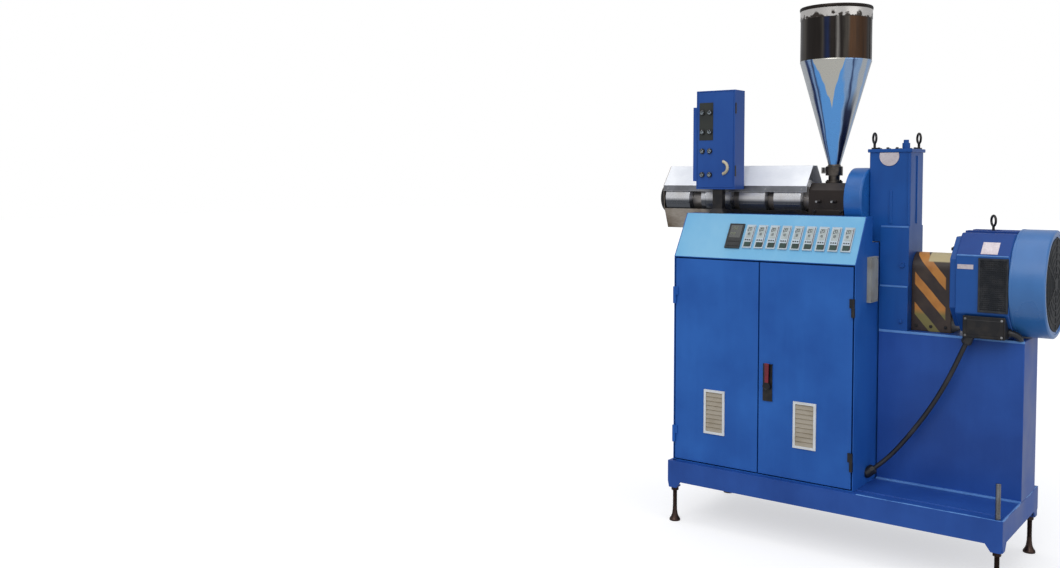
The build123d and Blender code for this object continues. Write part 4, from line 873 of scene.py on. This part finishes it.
def striped(tree, turn, stripes):
    """A colour for each part of the turn, from (start, hex colour) stripes that blend at narrow borders."""
    ramp = add_node(tree, "ValToRGB", {}, {0: turn})
    ramp.color_ramp.elements[0].color = srgb(stripes[0][1])
    ramp.color_ramp.elements[1].position = 1.0
    ramp.color_ramp.elements[1].color = srgb(stripes[-1][1])
    for before, (start, colour) in zip(stripes, stripes[1:]):
        ramp.color_ramp.elements.new(start - 0.012).color = srgb(before[1])
        ramp.color_ramp.elements.new(start + 0.012).color = srgb(colour)
    return ramp


def sheet_finish(tree, shader, place, colour, roughness):
    """Links the colour of a polished sheet, with gentle dents and a fine drawn grain."""
    tree.links.new(colour.outputs[0], shader.inputs["Base Color"])
    wave = add_node(tree, "TexNoise", {"Scale": 9.0, "Detail": 1.0}, {"Vector": place})
    dress(tree, shader, speckled(tree, place, 50, 0.4, 0.7), None, (roughness, roughness + 0.1), wave, 0.4,
          0.5)


cone_steel, tree, shader, place = new_material("polished_cone_sheet", "#A8A59C", 0.7, 0.24)
turn, height = round_the_hopper(tree, place, 0.14)
pale, navy, sky, haze = "#B4B9BC", "#33456E", "#62A2E4", "#8AAAD0"
sides = striped(tree, turn, [(0, pale), (0.18, navy), (0.23, haze), (0.27, navy), (0.30, sky),
                             (0.60, haze), (0.66, navy), (0.68, haze), (0.75, pale), (0.86, haze),
                             (0.92, pale)])
from_middle = add_node(tree, "Math", {"operation": "SUBTRACT", 1: 0.45}, {0: turn})
spread = add_node(tree, "Math", {"operation": "ABSOLUTE"}, {0: from_middle})
border = add_node(tree, "Math", {"operation": "MULTIPLY_ADD", 1: 1.15, 2: 1.53}, {0: spread})
above = add_node(tree, "Math", {"operation": "SUBTRACT"}, {0: height, 1: border})
# A pale beige V in the middle of the cone: a painted reflection.
in_reflected_wedge = passed(tree, (above, -0.004, 0.006))
reflected_wedge = add_node(tree, "MixRGB", {"Color2": srgb("#C3C1B8")}, {"Fac": in_reflected_wedge, "Color1": sides})
# A dark patch low on the cone's right side: a painted shadow.
shadow = passed(tree, (height, 1.60, 1.52), (turn, 0.61, 0.64), (turn, 0.80, 0.76))
cone_tone = add_node(tree, "MixRGB", {"Color2": srgb("#232C48")}, {"Fac": shadow, "Color1": reflected_wedge})
sheet_finish(tree, shader, place, cone_tone, 0.22)
# The drum is coloured dark with painted reflections of the shop's dark roof, in streaks laid out by the turn
# round its axis, with one painted glint.
drum_steel, tree, shader, place = new_material("reflection_painted_drum_sheet", "#2F2925", 0.8, 0.3)
turn = round_the_hopper(tree, place, 0.06)[0]
dark_reflection, grey_reflection, glint, brown_reflection = "#2A2522", "#47423C", "#8E8A85", "#46301F"
reflected_streaks = striped(tree, turn, [(0, dark_reflection), (0.14, grey_reflection), (0.20, dark_reflection), (0.36, grey_reflection), (0.39, "#1F2A4A"),
                             (0.44, dark_reflection), (0.50, glint), (0.525, dark_reflection), (0.56, grey_reflection), (0.62, brown_reflection),
                             (0.82, dark_reflection)])
streak = speckled(tree, add_node(tree, "Mapping", {"Scale": (1.0, 1.0, 0.05)}, {"Vector": place}), 12, 0.45,
                  0.7, 2.0)
half_streak = add_node(tree, "Math", {"operation": "MULTIPLY", 1: 0.45}, {0: streak})
drum_tone = add_node(tree, "MixRGB", {"Color2": srgb("#191615")}, {"Fac": half_streak, "Color1": reflected_streaks})
sheet_finish(tree, shader, place, drum_tone, 0.28)
# A pale band under the rim, a painted highlight, with a ragged dark edge below it.
rim_steel, tree, shader, place = new_material("highlight_band_sheet", "#BDB9B3", 0.6, 0.3)
height = add_node(tree, "SeparateXYZ", {}, {"Vector": place}).outputs["Z"]
ragged_noise = speckled(tree, place, 22, 0.42, 0.6, 3.0)
lifted = add_node(tree, "Math", {"operation": "MULTIPLY_ADD", 1: -0.022}, {0: ragged_noise, 2: height})
painted_highlight_share = passed(tree, (lifted, 1.842, 1.850))
band_tone = add_node(tree, "MixRGB", {"Color1": srgb("#3A332E"), "Color2": srgb("#CBC7C2")}, {"Fac": painted_highlight_share})
sheet_finish(tree, shader, place, band_tone, 0.26)
# The rim is rolled over a wire and coloured dark: painted shade under the roll.
rim_shadow = bright_steel("shaded_rolled_rim", "#3A3431", "#211D1B", 0.35, (1.0, 1.0, 6.0), 8)


def turned(name, outline, material, bevel_mm=0.0):
    """A closed outline of (radius, height) points in millimetres, spun round the hopper's axis."""
    middle = at(hopper_x, hopper_y, 0)
    bpy.ops.object.select_all(action="DESELECT")
    bpy.ops.mesh.primitive_plane_add(size=0.01)
    piece = bpy.context.object
    piece.name = name
    bpy.ops.object.mode_set(mode="EDIT")
    bpy.ops.mesh.select_all(action="SELECT")
    bpy.ops.mesh.delete(type="VERT")
    mesh = bmesh.from_edit_mesh(piece.data)
    ring = [mesh.verts.new((middle.x + r / 1000, middle.y, z / 1000)) for r, z in outline]
    for here, after in zip(ring, ring[1:] + ring[:1]):
        mesh.edges.new((here, after))
    bmesh.update_edit_mesh(piece.data)
    bpy.ops.mesh.select_all(action="SELECT")
    bpy.ops.mesh.spin(steps=96, angle=math.tau, center=middle, axis=(0, 0, 1), use_auto_merge=True)
    bpy.ops.mesh.select_all(action="SELECT")
    bpy.ops.mesh.remove_doubles(threshold=0.00002)
    bpy.ops.mesh.normals_make_consistent(inside=False)
    settle()
    return fit_out(piece, material, bevel_mm)


cone = turned("hopper_cone_sheet", [(16, 1320), (18, 1320), (124, 1698), (122, 1698)], cone_steel)
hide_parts("hopper_cone")
turned("hopper_seam_bead", [(121, 1696), (123.8, 1696.5), (124.7, 1698.5), (125, 1700), (124.7, 1701.5),
                            (123.8, 1703.5), (121, 1704)], cone_steel)
drum = turned("hopper_drum_sheet", [(122, 1700), (124, 1700), (124, 1888), (122, 1888)], drum_steel)
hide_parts("hopper_drum")
turned("hopper_rim", [(121, 1886), (124, 1881), (126.4, 1882), (127.4, 1886), (127.2, 1890), (125.4, 1893),
                      (122.4, 1892.8), (121, 1890)], rim_shadow)
turned("hopper_band", [(123.6, 1849), (125.4, 1849), (125.4, 1881), (123.6, 1881)], rim_steel, 0.5)
turned("hopper_foot_ring", [(17.5, 1320), (30, 1320), (30, 1325), (24, 1327), (21, 1334), (18.5, 1334)],
       neck_steel, 0.6)
drum_seam = add_block("hopper_upright_seam", at(666.1, 282, 1705), at(668.2, 288, 1848))
fit_out(drum_seam, drum_steel, 0.6)


# Bearing housing: a round iron casting between feed block and gearbox, painted
# a clearer blue, with a ring of cap screws in its front flange.
# Brush-painted iron: glossy, with soft sand grit and brush laps showing.
barrel_y, barrel_z = 285, 1205
clear_blue_iron = cast_metal("clear_blue_painted_iron", "#2468B2", "#1F589C", 0.34, 9, 0.35)
soften("bearing_housing", clear_blue_iron, 0.0, 2, 30)
flange_front, flange_back = at(621.8, barrel_y, barrel_z), at(636, barrel_y, barrel_z)
flange_ring = add_round("bearing_flange", flange_front, flange_back, 114.6, 72)
press(flange_ring, (-1, 0, 0), (18, -3, 1))
fit_out(flange_ring, clear_blue_iron, 2.0, 3, 30)
for turn in range(8):
    angle = math.radians(22.5 + 45 * turn)
    screw_head(f"bearing_bolt_{turn + 1}",
               at(622, barrel_y + 106 * math.cos(angle), barrel_z + 106 * math.sin(angle)), (-1, 0, 0), 5,
               black_oxide, 12, 2)

# Gearbox: an upright iron casting in three steps, filled, rubbed down and
# painted, with a bolted lid, an oil glass, a drain plug and a bare half-round
# plate.
# Enamel on filled iron: semi-gloss, slightly lumpy, duller in clouds.
gearbox_enamel = enamel("gearbox_enamel", "#1C549F", "#18478C", 0.36, 0.9, 8.0)
soften("gearbox_housing", gearbox_enamel, 2.5, 3)
soften("gearbox_lid", gearbox_enamel, 2.0, 3)
lid_spots = ((716, 251), (748, 249), (780, 249), (690, 300), (690, 345),
             (710, 381), (748, 383), (784, 383), (823, 305), (823, 335))
screw_row("lid_bolt_1", [at(x, y, 1385) for x, y in lid_spots], (0, 0, 1), 5, black_oxide, 6, 5)
# Ribs cast down the front and the right side stiffen the case.
for name, low_corner, high_corner in (("gearbox_front_rib", (757, 242.5, 1126), (767, 247, 1240)),
                                      ("gearbox_side_rib", (827.5, 311, 1126), (831.5, 321, 1362)),
                                      ("gearbox_front_edge", (819, 243, 1124), (825.5, 247, 1368)),
                                      ("gearbox_back_rib", (757, 385, 1126), (767, 389.5, 1362))):
    rib = add_block(name, at(*low_corner), at(*high_corner))
    fit_out(rib, gearbox_enamel, 1.8, 3)
# Machined ledges where the cast steps meet: a thin raised lip in paler blue, a painted highlight along the
# edge.
highlight_edge_enamel = enamel("painted_highlight_enamel", "#4C7CC0", "#6C9CD6", 0.4, 0.3, 5.0)
for number, (z, front) in enumerate(((1118, 241), (912, 236))):
    ledge = add_block(f"gearbox_ledge_{number + 1}", at(731, front - 1.0, z - 5), at(826, front + 6, z + 1.0))
    fit_out(ledge, highlight_edge_enamel, 1.2, 2)
# Turned aluminium plate, bare: satin, finely ringed.
bare_aluminium = bright_steel("satin_aluminium_plate", "#D6CFD3", "#B9AEB2", 0.42, (1.0, 1.0, 1.0), 5)
plate = add_round("gearbox_round_plate", at(755, 246.5, 1360), at(755, 243.2, 1360), 34, 48)
press(plate, (0, -1, 0), (3, -0.8, 1), (14, 0.6, 1))
edit(plate)
bpy.ops.mesh.select_all(action="SELECT")
bpy.ops.mesh.bisect(plane_co=at(755, 246, 1372), plane_no=(0, 0, 1), use_fill=True, clear_outer=True)
settle()
fit_out(plate, bare_aluminium, 0.4)
# Oil glass: a rimmed window low on the front of the case, painted over.
glass_rim = add_round("oil_glass_rim", at(806, 241.5, 985), at(806, 236, 985), 10, 6)
press(glass_rim, (0, -1, 0), (3, -2, 1))
fit_out(glass_rim, gearbox_enamel, 0.5)
screw_head("drain_plug", at(806, 236, 790), (0, -1, 0), 6, gearbox_enamel, 6, 6)
# Breather: a turned cap on the lid, painted over with the case.
cap = add_round("breather_cap_body", at(804, 270, 1385), at(804, 270, 1405), 13, 32)
press(cap, (0, 0, 1), (4, 1, 1), (0, 10, 0.96))
fit_out(cap, gearbox_enamel, 1.0, 3, 30)
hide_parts("breather_cap")

# Lifting eyes: forged eye bolts, blacked, two in the gearbox lid and one on
# the motor.
soften("lifting_eyes", black_oxide, 0.0, 2, 50)

# Pedestal: a welded box of 6 mm plate under gearbox and motor, painted with
# the base, its top plate standing a little proud of the sides.
soften("motor_pedestal", base_enamel, 3.0, 3)
# The top lip and the foot flange are a paler blue: painted highlights along the pedestal's edges.
top_lip = add_block("pedestal_top_lip", at(731, 234.6, 749), at(1203.6, 237, 757.4))
fit_out(top_lip, highlight_edge_enamel, 0.9, 2)
foot_flange = add_block("pedestal_foot_flange", at(731, 226, 229), at(1202, 237, 235))
fit_out(foot_flange, highlight_edge_enamel, 1.2, 2)
# Pale beads along the deck's outer edges: painted highlights.
weld("deck_front_highlight_bead", at(742, 4.2, 227), at(1198, 4.2, 227), highlight_edge_enamel, radius_mm=3.6)
weld("deck_right_highlight_bead", at(1199.6, 4, 227.2), at(1199.6, 472, 227.2), highlight_edge_enamel, radius_mm=3.2)

# Drive guard: an arched hood of sheet over the belt and coupling, painted in
# slanting black and amber bands as a warning.
# Two coats of enamel, amber over black, the edges brushed by hand.
hazard, tree, shader, place = new_material("hazard_banded_enamel", "#C8883C", 0.0, 0.42)
turned_place = add_node(tree, "Mapping", {"Rotation": (0, math.radians(41), 0), "Location": (0.030, 0, 0)},
                        {"Vector": place})
bands = add_node(tree, "TexWave",
                 {"wave_type": "BANDS", "bands_direction": "X", "Scale": 4.6, "Distortion": 0.25,
                  "Detail": 1.0, "Detail Scale": 4.0}, {"Vector": turned_place})
spot = add_node(tree, "SeparateXYZ", {}, {"Vector": place})
along, level = spot.outputs["X"], spot.outputs["Z"]
left_edge, inside_left, right_edge, inside_right = (at(x, 0, 0).x for x in (838, 841, 944, 941))
banded = passed(tree, (along, left_edge, inside_left), (along, right_edge, inside_right), (bands, 0.62, 0.67))
amber_cloud = speckled(tree, place, 70, 0.4, 0.7)
amber = add_node(tree, "MixRGB", {"Color1": srgb("#C9873E"), "Color2": srgb("#A96A2E")}, {"Fac": amber_cloud})
dark_cloud = add_node(tree, "MixRGB", {"Color1": srgb("#2C201C"), "Color2": srgb("#44352A")},
                      {"Fac": amber_cloud})
low_down = passed(tree, (level, 0.835, 0.815))
olive = add_node(tree, "MixRGB", {"Color2": srgb("#7D7440")}, {"Fac": low_down, "Color1": amber})
banding = add_node(tree, "MixRGB", {}, {"Fac": banded, "Color1": dark_cloud, "Color2": olive})
# The crest of the hood at the motor's end is coloured cream.
cream_crest = passed(tree, (level, 0.996, 1.0), (along, at(880, 0, 0).x, at(884, 0, 0).x))
all_coats = add_node(tree, "MixRGB", {"Color2": srgb("#C9B88A")}, {"Fac": cream_crest, "Color1": banding})
tree.links.new(all_coats.outputs[0], shader.inputs["Base Color"])
dress(tree, shader, None, height=banded, strength=0.3, depth_mm=0.3)
soften("drive_guard", hazard, 2.0, 3, 30)
screw_row("guard_bolt_1", [at(x, 277, 775) for x in (846, 895, 944)], (0, -1, 0), 4, black_oxide, 6, 4)


# Motor frame: laminated iron with cut corners between two end shields, painted
# light on the shields, with cooling ribs along its top and tie bars between.
shaft_y, shaft_z = 335, 938
motor_enamel = enamel("motor_frame_enamel", "#1F5096", "#285CA6", 0.34, 0.5)
# A darker blue for the motor's faces that look up, its ribs and its feet: painted shade.
shaded_motor_enamel = enamel("painted_shade_motor_enamel", "#183C82", "#204A92", 0.4, 0.5)
motor_frame = soften("motor_frame", motor_enamel, 4.0, 3)
motor_frame.data.materials.append(shaded_motor_enamel)
# Faces that look up get the darker blue: painted shade.
for face in motor_frame.data.polygons:
    if face.normal.z > 0.5:
        face.material_index = 1
soften("motor_end_shield", motor_enamel, 4.0, 3, 30)
# A pale bead along the foot of the motor's top slope: a painted highlight.
weld("motor_chamfer_highlight_bead", at(1006, 171.2, 1032.4), at(1164, 171.2, 1032.4), highlight_edge_enamel, radius_mm=2.6)
# Ribs along the motor's top and back, in the darker blue of the painted shade.
for number in range(9):
    offset = 15 * number - 60
    top_start = 1100 if abs(offset) < 16 else 1004
    top_rib = add_block(f"motor_top_rib_{number + 1}", at(top_start, shaft_y + offset - 2.2, 1102),
                        at(1166, shaft_y + offset + 2.2, 1109))
    fit_out(top_rib, shaded_motor_enamel, 1.5, 2)
    back_rib = add_block(f"motor_back_rib_{number + 1}", at(1004, 499, shaft_z + offset - 2.2),
                         at(1166, 504, shaft_z + offset + 2.2))
    fit_out(back_rib, shaded_motor_enamel, 1.5, 2)

# End shield's bearing cap: a turned cover with four screws round the shaft.
cap_ring = add_round("motor_bearing_cap", at(980.5, shaft_y, shaft_z), at(970, shaft_y, shaft_z), 52, 48)
press(cap_ring, (-1, 0, 0), (12, 3, 0.96))
fit_out(cap_ring, motor_enamel, 1.5, 2, 30)
for turn in range(4):
    angle = math.radians(45 + 90 * turn)
    screw_head(f"cap_screw_{turn + 1}",
               at(970, shaft_y + 44 * math.cos(angle), shaft_z + 44 * math.sin(angle)), (-1, 0, 0), 4,
               black_oxide, 6, 4)
for y, z in ((-110, 110), (110, 110), (-110, -110), (110, -110)):
    screw_head(f"shield_bolt_{'f' if y < 0 else 'b'}{'u' if z > 0 else 'l'}",
               at(980, shaft_y + y, shaft_z + z), (-1, 0, 0), 6, black_oxide, 6, 6)

# Bare rating plates: blank aluminium, one on the top slope and one on the
# shield's front face.
slope_head, slope_foot = at(0, shaft_y - 95, shaft_z + 165), at(0, shaft_y - 165, shaft_z + 95)
down_slope = (slope_foot - slope_head).normalized()
label = add_block("motor_blank_plate", (at(1078, 0, 0).x, -0.026, -0.001), (at(1130, 0, 0).x, 0.026, 0.0012))
label_middle = Vector((0, slope_head.y, slope_head.z)) + down_slope * 0.066
label.data.transform(Matrix.Translation(label_middle) @ Matrix.Rotation(math.radians(45), 4, "X"))
fit_out(label, bare_aluminium, 0.4)
tag = add_block("motor_front_tag", at(1008, 168.8, 988), at(1058, 170.4, 1003))
fit_out(tag, bare_aluminium, 0.4)

# Fan cowl: a drum of rolled sheet over the fan, its rim rolled in, with a
# perforated inlet in its end.
cowl_enamel = enamel("motor_cowl_enamel", "#2A66A6", "#3875B6", 0.28, 0.6, specular=0.7)
cowl = add_round("motor_cowl_drum", at(1168, shaft_y, shaft_z), at(1271, shaft_y, shaft_z), 177.2, 96)
press(cowl, (1, 0, 0), (0, 4, 0.972), (10, -3, 1), (12, 0))
fit_out(cowl, cowl_enamel, 1.2, 2, 25)
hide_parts("motor_cowl")
seam = add_round("motor_cowl_band", at(1169, shaft_y, shaft_z), at(1177, shaft_y, shaft_z), 178, 96)
fit_out(seam, cowl_enamel, 1.0, 2, 25)
# Inlet: black rings, hub and spokes over a black disc; the disc is painted shade inside the cowl's end, and
# the rings' black is partly that painted shade too.
inlet_black_and_shade = moulded("black_inlet_and_painted_shade", "#0E1216", "#181C22", 0.7, 3.0, 0.05)
for number, radius in enumerate((150, 128, 106, 84, 62, 40)):
    bpy.ops.object.select_all(action="DESELECT")
    bpy.ops.mesh.primitive_torus_add(major_segments=72, minor_segments=8, major_radius=radius / 1000,
                                     minor_radius=0.0035,
                                     location=at(1271.3, shaft_y, shaft_z), rotation=(0, math.pi / 2, 0))
    ring = settle()
    ring.name = f"cowl_inlet_ring_{number + 1}"
    fit_out(ring, inlet_black_and_shade, 0, 2, 60)
# A black disc behind the rings: painted shade.
inlet = add_round("cowl_inlet_shadow", at(1270.6, shaft_y, shaft_z), at(1272.2, shaft_y, shaft_z), 154, 64)
fit_out(inlet, inlet_black_and_shade, 0.3, 1, 30)
hub = add_round("cowl_inlet_hub", at(1271, shaft_y, shaft_z), at(1274.6, shaft_y, shaft_z), 24, 40)
fit_out(hub, inlet_black_and_shade, 1.2, 2, 30)
for turn in range(6):
    spoke_turn = Matrix.Rotation(math.radians(60 * turn), 4, "X")
    spoke = add_block(f"cowl_inlet_spoke_{turn + 1}", (-0.0015, -0.0035, 0.02), (0.0015, 0.0035, 0.156))
    spoke.data.transform(Matrix.Translation(at(1273, shaft_y, shaft_z)) @ spoke_turn)
    fit_out(spoke, inlet_black_and_shade, 0.8, 1)

# Motor feet: cast lugs across the pedestal under the frame, bolted up from
# inside the pedestal, coloured the darker blue of the painted shade.
soften("motor_feet", shaded_motor_enamel, 3.0, 3)

# Commutator grille: a dark screen of woven wire in a pressed frame on the
# motor's front, that lets the brushes be seen.
# Painted steel wire: near black, dusty on top of the strands.
wire_paint = blacked("dusty_black_wire", "#22262C", "#3A3B3E", 0.55)
low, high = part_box("commutator_grille")
screen = add_block("commutator_screen_frame", low, high)
press(screen, (0, -1, 0), (6, -4, 1))
fit_out(screen, wire_paint, 0.8)
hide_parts("commutator_grille")
wires = []
for i in range(1, 14):
    x = low[0] + (high[0] - low[0]) * i / 14
    wires.append(add_round("wire", (x, low[1] + 0.0022, low[2] + 0.004),
                           (x, low[1] + 0.0022, high[2] - 0.004), 1.1, 6))
for i in range(1, 27):
    z = low[2] + (high[2] - low[2]) * i / 27
    wires.append(add_round("wire", (low[0] + 0.004, low[1] + 0.0014, z),
                           (high[0] - 0.004, low[1] + 0.0014, z), 1.1, 6))
fit_out(joined("commutator_wires", wires), wire_paint, 0, 1, 60)

# Terminal box: a pressed steel box, black, whose lid is held by four screws,
# and a short black conduit that bends down from it into the pedestal.
soften("terminal_box", black_oxide, 2.0, 3)
lid = add_block("terminal_box_lid", at(1034, 157.6, 769), at(1156, 161, 833))
press(lid, (0, -1, 0), (8, 1.2, 0.97))
fit_out(lid, black_oxide, 0.8)
lid_corners = [at(x, 157.6, z) for z in (774, 828) for x in (1039, 1151)]
screw_row("terminal_screw_1", lid_corners, (0, -1, 0), 2.6, zinc_steel, 16, 1.6)
soften("conduit", gland_nylon, 0.0, 2, 50)
conduit_nut = add_round("conduit_nut", at(1159.5, 214, 783), at(1168, 214, 783), 14, 8)
fit_out(conduit_nut, gland_nylon, 1.0)

# Control box: a folded steel box on a flared post, its hinged face carrying
# eight knobs; the two upper rows sit on a dark printed panel.
control_enamel = enamel("control_box_enamel", "#214A94", "#28549E", 0.36, 0.5)
low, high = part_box("control_box")
control_box = add_block("control_box_case", low, high)
press(control_box, (0, -1, 0), (4, -2.2, 1), (2.5, 2.2, 1))
fit_out(control_box, control_enamel, 1.4, 3)
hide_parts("control_box")
soften("control_box_strip", base_enamel, 1.2)
soften("control_box_post", black_oxide, 1.2)
# Printed face panel: matt black lacquer on thin aluminium.
face_lacquer = moulded("matt_black_face_panel", "#1C211F", "#2C302B", 0.6, 3.0, 0.04)
face = add_block("control_box_face", at(84, 118.8, 1424), at(141, 120.4, 1564))
fit_out(face, face_lacquer, 0.6)
# Black knob with a pale grey plastic cap and an aluminium pointer line.
knob_plastic = moulded("black_phenolic_knob", "#17181A", "#26282A", 0.3, 2.0, 0.03)
knob = add_round("control_knob_1", at(97.5, 120, 1527), at(97.5, 114, 1527), 10, 24)
press(knob, (0, -1, 0), (2.5, 3, 0.9))
fit_out(knob, knob_plastic, 0.6, 2, 30)
knob_cap = add_round("control_knob_cap_1", at(97.5, 111.4, 1527), at(97.5, 111, 1527), 6.6, 24)
fit_out(knob_cap, case_plastic, 0.1, 1)
pointer = add_block("control_knob_pointer_1", at(96.7, 112.6, 1531), at(98.3, 113.2, 1536))
fit_out(pointer, bare_aluminium, 0.1, 1)
knob_spots = [(97.5 + 31 * column, z) for z in (1527, 1455, 1384, 1296) for column in range(2)]
for piece in (knob, knob_cap, pointer):
    copy_to(piece, [at(x, 0, z) - at(97.5, 0, 1527) for x, z in knob_spots[1:]])
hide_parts("control_box_dials")
# Door pull: a cream crescent of moulded plastic screwed low on the right.
pull_plastic = moulded("cream_abs_pull", "#C9BFA6", "#AFA285", 0.4, 2.0, 0.04)
bpy.ops.object.select_all(action="DESELECT")
bpy.ops.mesh.primitive_torus_add(major_segments=40, minor_segments=12, major_radius=0.023,
                                 minor_radius=0.0055, location=at(179, 117, 1322),
                                 rotation=(math.pi / 2, 0, 0))
pull = settle()
pull.name = "control_box_pull"
edit(pull)
pick(pull, lambda middle, normal: middle.x < at(182, 0, 0).x)
bpy.ops.mesh.delete(type="FACE")
bpy.ops.mesh.select_all(action="SELECT")
bpy.ops.mesh.fill_holes(sides=0)
bpy.ops.mesh.normals_make_consistent(inside=False)
settle()
fit_out(pull, pull_plastic, 0.5, 2, 40)
box_hinge = add_block("control_box_hinge_1", at(228.9, 121, 1290), at(232.1, 129, 1330))
fit_out(box_hinge, black_oxide, 0.8)
copy_to(box_hinge, [at(0, 0, 1520) - at(0, 0, 1290)])
